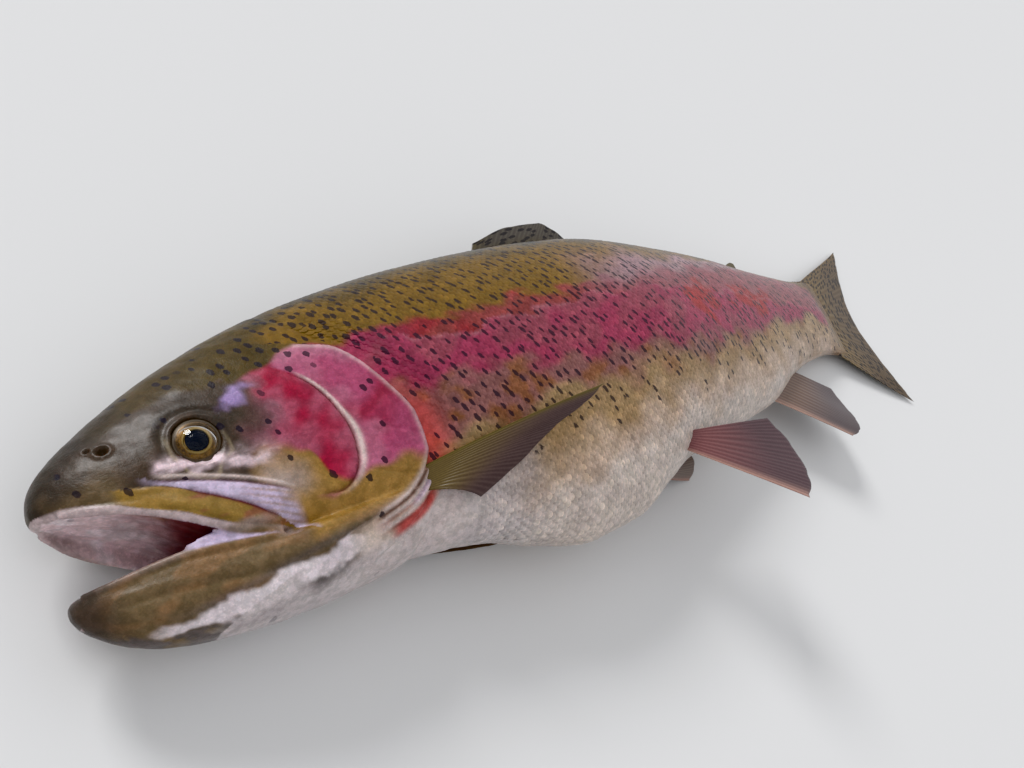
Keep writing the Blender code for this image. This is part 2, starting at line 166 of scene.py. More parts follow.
def ramp(low, high, value):
    """0 below low, 1 above high, and smooth between them. Low may be the greater of the two."""
    t = np.clip((np.asarray(value, float) - low) / (high - low), 0, 1)
    return t * t * (3 - 2 * t)


def window(start, full, fade, end, value):
    """Rises to 1 from start to full, and falls back to 0 from fade to end."""
    return ramp(start, full, value) * ramp(end, fade, value)


def bump(centre, width, value):
    """1 at the centre and fading to nothing a few widths away."""
    return np.exp(-(((value - centre) / width) ** 2))


def relief(across, *ridges):
    """Height over a row of ridges and grooves, each given as its height, place and width."""
    return sum(height * bump(place, width, across) for height, place, width in ridges)


def unit(vectors):
    return vectors / np.linalg.norm(vectors, axis=-1)[..., None]


def turn_round(segments):
    return 2 * math.pi * np.arange(segments) / segments


def signed_power(value, power):
    return np.sign(value) * np.abs(value) ** power


def drift(points, size, seed):
    """A soft wandering value of about -1 to 1, with hills of the given size in millimetres."""
    source = np.random.default_rng(seed)
    total = np.zeros(len(points))
    for share in np.geomspace(0.55, 3.2, 14):
        way = source.normal(size=3)
        way *= share * math.pi / (size * np.linalg.norm(way))
        total += np.sin(points @ way + source.uniform(0, 2 * math.pi)) / share**0.6
    return total / 2.6


def measures(table, x):
    """Back, belly, half width, beam level and the two fullnesses of a lofted shape at each x."""
    columns = np.array(table, float).T
    return [curve(columns[0], column, x) for column in columns[1:]]


def section(table, x, angle, grow=0.0):
    """Points (x, d, w) of a lofted shape. The angle is 0 on the left side and a right angle at the back."""
    back, belly, half, beam, above, below = measures(table, x)
    side, up = np.cos(angle), np.sin(angle)
    power = 2.0 / np.where(up >= 0, above, below)
    height = np.where(up >= 0, back + grow - beam, beam - belly + grow)
    d, w = beam + height * signed_power(up, power), (half + grow) * signed_power(side, power)
    return np.stack(np.broadcast_arrays(x, d, w), -1)


def spread(table, x, d):
    """At (x, d) of a lofted shape: its half width, the height over the beam, how far that may go, the fullness."""
    back, belly, half, beam, above, below = measures(table, x)
    up = d - beam
    return half, up, np.where(up >= 0, back - beam, beam - belly), np.where(up >= 0, above, below)


def fill_of(table, points):
    """How far out in a lofted shape a point lies: 0 on its middle line and 1 on its surface."""
    half, up, reach, power = spread(table, points[:, 0], points[:, 1])
    return (np.abs(points[:, 2] / half) ** power + np.abs(up / reach) ** power) ** (1 / power)


def surface_w(x, d, inset=0.0):
    """Half width of the body at (x, d)."""
    half, up, reach, power = spread(BODY, x, d)
    return half * np.clip(1 - np.abs(up / reach) ** power, 0.0, 1) ** (1 / power) - inset


class Girth:
    """Distance round the body from the middle of the flank, up as positive, and back again to a section angle."""

    gap = 4.0  # between sections
    steps = 240  # from belly to back

    def __init__(self):
        self.x = np.arange(0.0, BODY_END + 2, self.gap)
        self.angle = np.linspace(-math.pi / 2, math.pi / 2, self.steps + 1)
        ring = section(BODY, self.x[:, None], self.angle[None, :])
        step = np.linalg.norm(np.diff(ring, axis=1), axis=2)
        self.arc = np.concatenate([np.zeros((len(self.x), 1)), np.cumsum(step, 1)], 1)
        self.arc -= self.arc[:, self.steps // 2, None]

    def place(self, x):
        """The last section before x, and the share of the gap beyond it."""
        place = np.clip(x / self.gap, 0, len(self.x) - 1.001)
        i = np.asarray(place).astype(int)
        return i, place - i

    def table_at(self, x):
        """The arcs at one x."""
        i, part = self.place(x)
        return self.arc[i] + (self.arc[i + 1] - self.arc[i]) * part

    def arc_of(self, points):
        """The arc of any point near the body's surface."""
        half, up, reach, power = spread(BODY, np.clip(points[:, 0], 1, BODY_END), points[:, 1])
        angle = np.arctan2(signed_power(up / reach, power / 2), np.abs(points[:, 2] / half) ** (power / 2))
        i, part = self.place(points[:, 0])
        place = (angle + math.pi / 2) / math.pi * self.steps
        j = np.clip(place.astype(int), 0, self.steps - 1)
        low, high = (self.arc[k, j] + (self.arc[k, j + 1] - self.arc[k, j]) * (place - j) for k in (i, i + 1))
        return low + (high - low) * part


GIRTH = Girth()


def backbone(x):
    """Point, back-ward and left-ward vectors of the resting line, in millimetres."""
    fraction = np.linspace(-0.02, 1.08, 221)
    height, sag = curve(REST_AT, REST_HEIGHT, fraction), curve(SAG_AT, SAG, fraction)
    step = FORK_LENGTH * (fraction[1] - fraction[0])
    reach = np.concatenate([[0.0], np.cumsum(np.sqrt(step**2 - np.diff(height) ** 2 - np.diff(sag) ** 2))])
    line = np.column_stack([reach - np.interp(0.0, fraction, reach), sag, height])
    at = np.asarray(x, float) / FORK_LENGTH
    point, along = (np.column_stack([np.interp(at, fraction, column) for column in table.T])
                    for table in (line, np.gradient(line, axis=0)))
    along = unit(along)
    back = unit(np.cross((0.0, 0.0, 1.0), along))
    return point, back, np.cross(along, back)


def laid(points):
    """Points of the straightened fish in their resting place, in millimetres from the snout."""
    centre, back, left = backbone(points[:, 0])
    return centre + back * points[:, 1:2] + left * points[:, 2:3] - (0.0, 0.0, FLAT)


def snout():
    """Where the snout stands in the frame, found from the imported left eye."""
    low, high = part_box("eye_left")
    eye = laid(np.array([EYE_CENTRE]))[0] / 1000
    return np.array([(low.x + high.x) / 2 - eye[0], (low.y + high.y) / 2 - eye[1], 0.0])


SNOUT = snout()


def placed(points):
    """Points in the frame, in metres, and nowhere lower than the floor."""
    points = laid(points)
    points[:, 2] = np.maximum(points[:, 2], FLOOR_CLEARANCE)
    return points / 1000 + SNOUT


def line_through(points, step):
    """Points about a step apart on a smooth line through the given ones."""
    points = np.array(points, float)
    length = np.concatenate([[0], np.cumsum(np.linalg.norm(np.diff(points, axis=0), axis=1))])
    at = np.linspace(0, length[-1], max(2, int(length[-1] / step)))
    return np.column_stack([curve(length, column, at) for column in points.T])


def beside(points, line):
    """Signed distance in (x, d) from a line, positive on the line's right hand, and how far along it, 0 to 1."""
    line = line_through(line, 2.0)
    start, step = line[:-1], np.diff(line, axis=0)
    best = np.full(len(points), 1e9)
    signed, along = np.zeros((2, len(points)))
    for k in range(len(start)):
        away = points[:, :2] - start[k]
        t = np.clip(away @ step[k] / (step[k] @ step[k]), 0, 1)
        gap = away - t[:, None] * step[k]
        distance = np.hypot(gap[:, 0], gap[:, 1])
        nearer = distance < best
        turn = step[k, 1] * gap[:, 0] - step[k, 0] * gap[:, 1]
        best = np.where(nearer, distance, best)
        signed = np.where(nearer, np.copysign(distance, turn), signed)
        along = np.where(nearer, (k + t) / len(start), along)
    return signed, along


# ---------------------------------------------------------------- meshes

def add_object(name, data):
    obj = bpy.data.objects.new(name, data)
    bpy.context.scene.collection.objects.link(obj)
    return obj


def make_object(name, points, faces):
    mesh = bpy.data.meshes.new(name)
    mesh.from_pydata(np.asarray(points, float).tolist(), [], faces)
    return add_object(name, mesh)


def remove(*objects):
    for obj in objects:
        bpy.data.objects.remove(obj, do_unlink=True)


@contextmanager
def edited(mesh):
    """A mesh opened for editing, and written back at the end."""
    work = bmesh.new()
    work.from_mesh(mesh)
    yield work
    work.to_mesh(mesh)
    work.free()


def neat(mesh, weld=0.004):
    """Joins points that a cut left closer than a few microns, and splits every face into flat triangles."""
    with edited(mesh) as work:
        bmesh.ops.remove_doubles(work, verts=work.verts, dist=weld)
        bmesh.ops.dissolve_degenerate(work, edges=work.edges, dist=weld)
        bmesh.ops.triangulate(work, faces=work.faces)


def turn_outward(work):
    bmesh.ops.recalc_face_normals(work, faces=work.faces)
    if work.calc_volume(signed=True) < 0:
        bmesh.ops.reverse_faces(work, faces=work.faces)


def closed_object(name, points, faces):
    """An object of a closed mesh whose faces point outwards."""
    obj = make_object(name, points, faces)
    with edited(obj.data) as work:
        turn_outward(work)
    return obj


def modify(obj, kind, **settings):
    """Adds a modifier."""
    modifier = obj.modifiers.new(kind.lower(), kind)
    for key, value in settings.items():
        setattr(modifier, key, value)
    return modifier


def evaluated(obj):
    """The mesh that an object's modifiers make, which are then gone."""
    graph = bpy.context.evaluated_depsgraph_get()
    mesh = bpy.data.meshes.new_from_object(obj.evaluated_get(graph))
    obj.modifiers.clear()
    obj.data = mesh
    obj.vertex_groups.clear()
    return mesh


def modify_where(obj, weight, kind, **settings):
    """Runs a modifier by a weight at each point."""
    group = obj.vertex_groups.new(name="where")
    for k in np.flatnonzero(weight > 0.05):
        group.add([int(k)], float(weight[k]), "REPLACE")
    modify(obj, kind, vertex_group=group.name, **settings)
    evaluated(obj)


def combine(obj, operation, *tools):
    """Runs a Boolean with each tool in turn. The tools are used up."""
    for tool in tools:
        modify(obj, "BOOLEAN", operation=operation, solver="EXACT", object=tool)
        neat(evaluated(obj))
        remove(tool)


def joined(objects):
    """One object of several shells."""
    first = objects[0]
    with edited(first.data) as work:
        for obj in objects[1:]:
            work.from_mesh(obj.data)
    remove(*objects[1:])
    return first


def ring_faces(rings, segments, first=0, closed=True):
    """Faces between successive rings of points, and across the first and last ones."""
    faces = []
    for r in range(rings - 1):
        a = first + r * segments
        faces += [(a + k, a + (k + 1) % segments, a + segments + (k + 1) % segments, a + segments + k)
                  for k in range(segments)]
    if closed:
        faces.append(tuple(first + k for k in reversed(range(segments))))
        faces.append(tuple(first + (rings - 1) * segments + k for k in range(segments)))
    return faces


def loft(name, table, xs, segments):
    rings = section(table, np.asarray(xs, float)[:, None], turn_round(segments)[None, :])
    obj = make_object(name, rings.reshape(-1, 3), ring_faces(len(xs), segments))
    neat(obj.data)
    return obj


def strap(name, line, widths, depths, segments=16):
    """A closed band that follows a line of (x, d, w) points, with an oval section."""
    path = line_through(line, 2.0)
    along = unit(np.gradient(path, axis=0))
    outwards = np.tile(np.array([0.0, 0.0, np.sign(path[:, 2].mean())]), (len(path), 1))
    outwards = unit(outwards - along * np.sum(outwards * along, 1)[:, None])
    up = np.cross(outwards, along)
    at = np.linspace(0, 1, len(path))
    width, depth = (evenly(sizes, at)[:, None, None] for sizes in (widths, depths))
    angle = turn_round(segments)[None, :, None]
    rings = path[:, None] + up[:, None] * (np.cos(angle) * width) + outwards[:, None] * (np.sin(angle) * depth)
    return closed_object(name, rings.reshape(-1, 3), ring_faces(len(path), segments))


def vectors_of(collection, key):
    values = np.empty(3 * len(collection), np.float32)
    collection.foreach_get(key, values)
    return values.reshape(-1, 3).astype(float)


def coordinates(mesh):
    return vectors_of(mesh.vertices, "co")


def normals_of(mesh):
    return vectors_of(mesh.vertex_normals, "vector")


def set_coordinates(mesh, points):
    mesh.vertices.foreach_set("co", np.asarray(points, np.float32).ravel())
    mesh.update()


def store(mesh, **attributes):
    """Numbers or vectors at each point of the mesh, by name."""
    for name, values in attributes.items():
        values = np.asarray(values, np.float32)
        kind, key = ("FLOAT", "value") if values.ndim == 1 else ("FLOAT_VECTOR", "vector")
        mesh.attributes.new(name, kind, "POINT").data.foreach_set(key, values.ravel())


def finished(obj, slot, finish, *nodes):
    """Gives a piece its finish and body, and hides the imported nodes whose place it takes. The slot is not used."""
    obj.data.materials.clear()
    obj.data.materials.append(finish)
    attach(obj, "root")
    if nodes:
        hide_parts(*nodes)


# ---------------------------------------------------------------- head and skin

HEAD_CUT = 206.0
HEAD_VOXEL = 1.0
LID = 12.4  # radius of the opening round the eye
RING_POINTS = 100  # round the trunk
TAIL_ROOT = 676.0  # where the flesh starts to thin out over the tail fin
TAIL_RUN = 39.0  # how far it takes

# Lips: line, widths and depths for the left side, with w taken as positive.
NEAR_LIP = (((8, -10.5, 13), (24, -16, 20.5), (40, -23, 26), (56, -33, 29), (72, -43.5, 30.5), (86, -50.5, 31),
             (96, -55, 31)), (1.6, 2.6, 3, 3.2, 3.4, 3.2, 2), (1.8, 2.4, 2.6, 2.4, 2.2, 2.2, 1.6))
FAR_LIP = (((4, -8, 9.5), (18, -15, 18.5), (36, -22.5, 24.5), (54, -31.5, 28), (74, -42, 30), (92, -51, 31)),
           (3, 6.5, 8, 8.5, 6.5, 3), (1.8, 2.2, 2.4, 2.4, 2.2, 1.6))
WEB = (((52, -47, 24.5), (64, -48, 27), (80, -52, 29), (97, -57.5, 30.5)), (1.2, 4.5, 6, 4.5), (0.9, 1.2, 1.4, 1.6))
JAW_LIP = (((6, -49.5, 7.5), (20, -50, 15.5), (45, -49.5, 22.5), (70, -53.5, 28.5), (92, -57.5, 32)),
           (1.6, 2, 2.2, 2.2, 1.6), (2, 2.4, 2.6, 2.4, 1.8))

# Lines with the ridges and grooves beside them (height, place, width), and how they come and go along the line.
CREASES = (
    (CHEEK_STRIPE, ((0.6, 0, 4.0),), (0.02, 0.2, 0.75, 1)),
    (FOLD_LINE, ((0.7, -0.8, 1.0), (-0.9, 1.0, 0.9)), (0, 0.15, 0.8, 1)),
    (CHEEK_CREASE, ((-1.0, 0.7, 0.8), (0.3, -1.4, 1.3), (0.6, 4.0, 2.5)), (0, 0.12, 0.85, 1)),
    (PLATE_SEAM, ((-0.5, 0, 0.9),), (0, 0.1, 0.9, 1)),
    (LOWER_SEAM, ((-0.5, 0, 0.9),), (0, 0.1, 0.9, 1)),
    (GILL_EDGE, ((0.35, 2.6, 1.8), (-0.3, 6.0, 1.5)), (0, 0.1, 0.88, 1)),
    (MAXILLA_TOP, ((-1.0, -0.6, 0.9),), (0, 0.1, 0.92, 1)),
    (MAXILLA_LIP, ((-0.8, -0.5, 0.8),), (0.28, 0.4, 0.92, 1)),
)


def eye_place(points, side):
    """From the eye's own axes, with z out of the face, to the straightened fish."""
    forward, out = math.sin(EYE_FORWARD), math.cos(EYE_FORWARD)
    x = points[:, 0] * out - points[:, 2] * forward
    w = points[:, 0] * forward + points[:, 2] * out
    return np.column_stack([x + EYE_CENTRE[0], points[:, 1] + EYE_CENTRE[1], side * (w + EYE_CENTRE[2])])


def eye_ball(side, grow=0.4, rings=14, segments=32):
    """A flattened ball whose face follows the slope of the head, to cut the socket with."""
    polar, turn = math.pi * np.arange(1, rings)[:, None] / rings, turn_round(segments)[None]
    ball = np.stack(np.broadcast_arrays(np.sin(polar) * np.cos(turn), np.sin(polar) * np.sin(turn), np.cos(polar)), -1)
    points = eye_place(ball.reshape(-1, 3) * (EYE_RADIUS + grow, EYE_RADIUS + grow, EYE_DEPTH + grow), side)
    return closed_object("socket", points, ring_faces(rings - 1, segments))


def lips(side):
    """The plate, lip, web and jaw lip at one side of the mouth."""
    plate = [(x, d, float(surface_w(x, d, inset))) for x, d, inset in ((30, -15, 1.6), (45, -20, 1.4))]
    plate += [(62, -31, 31.5), (80, -42.5, 33), (97, -51.5, 32.5)]
    shapes = ((plate, (3, 4.6, 5.6, 4.6, 1.5), (1.4, 2.2, 2.4, 2.2, 1.2)), NEAR_LIP if side > 0 else FAR_LIP,
              WEB, JAW_LIP)
    return [strap("lip", np.array(line) * (1, 1, side), widths, depths) for line, widths, depths in shapes]


def from_eye(points):
    """Distances backward, upward and outright from the eye's centre, on the slope of the head."""
    back = (points[:, 0] - EYE_CENTRE[0]) / math.cos(EYE_FORWARD)
    up = points[:, 1] - EYE_CENTRE[1]
    return back, up, np.hypot(back, up)


def head_base():
    """Head, jaw and the start of the trunk, with the open mouth and the eye sockets hollowed out."""
    head = loft("head_base", BODY, [-1.5, -0.5, 0.5, 2.5, 5.0, 7.5, *np.arange(10.0, 232.0, 6.0)], 72)
    combine(head, "DIFFERENCE", eye_ball(1), eye_ball(-1))
    combine(head, "UNION", loft("jaw", JAW, [0.5, 1.5, 3.0, 6.0, 9.0, *np.arange(14.0, 184.0, 7.0), 184.0], 48))
    combine(head, "DIFFERENCE", loft("mouth", MOUTH, [5.0, 7.0, 9.5, *np.arange(13.0, 142.0, 6.5), 142.0], 40))
    base = joined([head] + lips(1) + lips(-1))
    modify(base, "REMESH", mode="VOXEL", voxel_size=HEAD_VOXEL)
    modify(base, "SMOOTH", factor=0.5, iterations=4)
    points = coordinates(evaluated(base))
    corner = window(88, 94, 106, 112, points[:, 0]) * bump(-56, 6, points[:, 1])
    rough = np.maximum(bump(LID, 1.6, from_eye(points)[2]), corner)
    modify_where(base, rough, "SMOOTH", factor=0.5, iterations=14)
    return base


def coat_start(d):
    """How far back the scales begin at a height on the flank."""
    return curve((-110, -66, -50, -36, -24, 0, 19, 31, 40, 60, 80, 95),
                 (203, 198, 198, 197, 193, 184, 175, 165, 156, 142, 136, 134), d)


def under_cover(points):
    """Where the thin membranes show below the gill cover."""
    return ramp(-45.0, -53.0, points[:, 1]) * window(140, 152, 181, 190, points[:, 0])


def shoulder(points):
    """How far the flesh behind the gill cover lies under the cover's edge, as a negative height."""
    across, along = beside(points, GILL_EDGE)
    deep = 3.0 - 1.8 * under_cover(points)
    return deep * (ramp(1.2, 26.0, -across) - ramp(-0.4, 0.9, -across)) * window(0, 0.1, 0.88, 1, along)


def sculpt(mesh):
    """Raises and sinks the head's skin: eye folds, nostrils, cheek crease, gill cover, jaw and throat."""
    points, normals = coordinates(mesh), normals_of(mesh)
    x, d, w = points.T
    side = np.sign(w)
    outer = ramp(0.0, 0.4, normals[:, 2] * side)
    push = shoulder(points)
    for line, ridges, reach in CREASES:
        across, along = beside(points, line)
        push += relief(across, *ridges) * window(*reach, along)

    # Rim and folds round the eye, which go straight out.
    back, up, round_eye = from_eye(points)
    over = ramp(-0.5, 0.6, (up - 0.55 * back) / np.maximum(round_eye, 1.0))
    wavy = round_eye + 0.4 * drift(points, 11.0, 61)
    folds = 0.6 * bump(13.8, 1.3, round_eye) + over * relief(wavy, (-0.55, 17.2, 1.6), (0.2, 21.5, 2.6),
                                                              (-0.12, 26.5, 2.4))
    folds *= outer * ramp(6.0, 12.0, np.abs(w)) * ramp(LID, LID + 1, round_eye)

    # Nostrils: a low rim round a pit, and a smaller one ahead of it, in a hollow before the eye.
    for at, level, size in NOSTRILS:
        away = np.hypot(x - at, (d - level) * 1.15) / size
        push += relief(away, (0.9 * size, 3.2, 1.1), (-3.4 * size, 0.0, 1.9))
    push -= 0.9 * bump(0, 11.0, np.hypot(x - 44.0, d - 12.0))

    # Edge of the gill membrane, and the folds over its rays.
    across, along = beside(points, MEMBRANE_EDGE)
    push += (relief(across, (0.3, 1.8, 1.4)) - window(-14, -2, -0.8, 0.6, across)) * window(0, 0.12, 0.85, 1, along)
    behind = -beside(points, GILL_EDGE)[0]
    for gap in MEMBRANE_FOLDS:
        push += relief(behind, (0.5, gap - 0.6, 1.0), (-0.7, gap + 1.0, 0.8)) * under_cover(points)

    # Groove and ridge along the lower jaw.
    across, along = beside(points, JAW_GROOVE)
    push += relief(across, (-0.8, 0, 1.6), (0.6, -4.5, 2.5)) * window(0, 0.15, 0.85, 1, along) * ramp(-54, -58, d)
    push *= outer

    # Folds under the throat, and ridges across the palate.
    push += 0.35 * np.sin((d + 0.22 * x) * 2 * math.pi / 7.0) * bump(118, 26, x) * ramp(-80, -84, d)
    palate = ramp(-0.2, -0.7, normals[:, 1]) * window(4, 14, 60, 90, x) * ramp(-60, -55, d)
    push += 0.25 * palate * (fill_of(MOUTH, points) < 1.2) * np.sin(w * 2 * math.pi / 12.0)

    # The skin sinks by the coat's depth where the scales start, and is uneven before that.
    past_start = x - coat_start(d)
    push -= COAT_DEPTH * ramp(-2.0, 2.5, past_start)
    push += 0.2 * drift(points, 14.0, 3) * outer * ramp(8.0, -2.0, past_start)
    points += normals * (push * ramp(LID + 0.2, LID + 1.6, round_eye))[:, None]
    points[:, 2] += side * folds
    set_coordinates(mesh, points)


def tail_taper(x):
    """Share of the body's thickness left where the flesh runs out over the tail fin."""
    return np.sqrt(np.clip(1 - (np.clip(np.asarray(x, float) - TAIL_ROOT, 0, None) / TAIL_RUN) ** 2, 0.006, 1))


def trunk_rings():
    """Rings of the trunk's skin from the head's rear to the root of the tail fin."""
    xs = np.concatenate([np.arange(HEAD_CUT + 3, 640, 4), np.arange(640, 704, 3.5), np.arange(704, 716, 1.5)])
    rings = section(BODY, np.minimum(xs, BODY_END)[:, None], turn_round(RING_POINTS)[None, :], -COAT_DEPTH)
    rings[:, :, 0] = xs[:, None]
    rings[:, :, 2] *= tail_taper(xs)[:, None]
    return rings


def whole_skin():
    """The head joined to the trunk in one closed mesh, still straight, in millimetres."""
    base = head_base()
    sculpt(base.data)
    with edited(base.data) as work:
        everything = list(work.verts) + list(work.edges) + list(work.faces)
        bmesh.ops.bisect_plane(work, geom=everything, plane_co=(HEAD_CUT, 0, 0), plane_no=(1, 0, 0),
                               clear_outer=True)
    points, normals = coordinates(base.data), normals_of(base.data)
    # The outside of the side that lies on the floor needs fewer faces.
    far = (points[:, 2] < -8.0) & (normals[:, 2] < 0.2) & (points[:, 0] < HEAD_CUT - 4.0)
    modify_where(base, far, "DECIMATE", ratio=0.68, vertex_group_factor=100.0)
    rings = trunk_rings()
    count = len(rings)
    with edited(base.data) as work:
        open_edges = [e for e in work.edges if e.is_boundary]
        verts = [work.verts.new(p) for p in rings.reshape(-1, 3)]
        for face in ring_faces(count, RING_POINTS, closed=False):
            work.faces.new([verts[k] for k in face])
        work.faces.new(verts[-RING_POINTS:])
        first = [work.edges.get((verts[k], verts[(k + 1) % RING_POINTS])) for k in range(RING_POINTS)]
        bmesh.ops.bridge_loops(work, edges=open_edges + first)
        bmesh.ops.triangulate(work, faces=[f for f in work.faces if len(f.verts) > 4])
        turn_outward(work)
    base.name = "skin"
    return base


# ---------------------------------------------------------------- markings

OLIVE_GOLD = (0.225, 0.124, 0.018)
OLIVE_DARK = (0.07, 0.049, 0.016)
BACK_BLACK = (0.026, 0.022, 0.015)
BRICK = (0.3, 0.028, 0.028)
RUST_RED = (0.39, 0.028, 0.026)
MAGENTA = (0.365, 0.052, 0.105)
ROSE_GREY = (0.27, 0.13, 0.115)
PALE_LILAC = (0.4, 0.24, 0.27)
ORANGE = (0.27, 0.105, 0.035)
LATERAL = (0.45, 0.18, 0.2)
TAN = (0.4, 0.262, 0.135)
CREAM = (0.64, 0.48, 0.375)
BELLY_GREY = (0.74, 0.63, 0.56)
TAIL_OLIVE = (0.21, 0.13, 0.05)
HEAD_OLIVE = (0.088, 0.058, 0.014)
HEAD_BROWN = (0.08, 0.054, 0.022)
SLATE = (0.044, 0.034, 0.026)
EYE_RIM = (0.3, 0.24, 0.15)
EYE_SHADE = (0.055, 0.045, 0.036)
MAUVE_GREY = (0.082, 0.059, 0.043)
SNOUT_OLIVE = (0.165, 0.118, 0.066)
# Pale stripe under the eye, brightened as a painted highlight.
PALE_STRIPE_AND_GLINT = (0.93, 0.74, 0.79)
LILAC = (0.36, 0.26, 0.5)
CRIMSON = (0.36, 0.012, 0.045)
DUSKY_ROSE = (0.27, 0.12, 0.15)
CHEEK_ROSE = (0.33, 0.075, 0.115)
CHEEK_GREY = (0.45, 0.4, 0.42)
COVER_PINK = (0.45, 0.095, 0.185)
COVER_TOP = (0.56, 0.25, 0.34)
COVER_RED = (0.32, 0.032, 0.068)
COVER_OLIVE = (0.35, 0.215, 0.06)
BREAST = (0.66, 0.59, 0.59)
FOLD_BROWN = (0.16, 0.1, 0.055)
# Painted highlight along raised rims, crests and lips.
EDGE_HIGHLIGHT = (0.79, 0.65, 0.61)
PLATE_ROSE = (0.29, 0.105, 0.075)
PLATE_BROWN = (0.3, 0.19, 0.055)
# Painted shade in grooves and creases, and just under the gill cover's edge.
GROOVE_SHADE = (0.11, 0.022, 0.022)
LIP = (0.56, 0.45, 0.45)
FOLD_LILAC = (0.64, 0.54, 0.72)
JAW_OLIVE = (0.19, 0.135, 0.075)
JAW_RUST = (0.29, 0.175, 0.09)
# Pale band on the lower jaw, brightened as a painted highlight.
JAW_BAND_AND_GLINT = (0.88, 0.79, 0.82)
JAW_SHADE = (0.13, 0.11, 0.105)
JAW_TIP = (0.055, 0.042, 0.035)
THROAT_PALE = (0.39, 0.36, 0.36)
MOUTH_PINK = (0.76, 0.59, 0.61)
MOUTH_WHITE = (0.85, 0.76, 0.79)
MOUTH_RED = (0.2, 0.075, 0.075)
# Painted shade deep inside the mouth.
MOUTH_DEPTH_SHADE = (0.03, 0.012, 0.014)
GILL_RED = (0.52, 0.072, 0.068)


def painted(colour, *coats):
    """A colour, or one at each point, with others laid over it in turn by their amounts."""
    for other, amount in coats:
        amount = np.clip(np.asarray(amount, float), 0, 1)[..., None]
        colour = np.asarray(colour, float) * (1 - amount) + np.asarray(other, float) * amount
    return colour


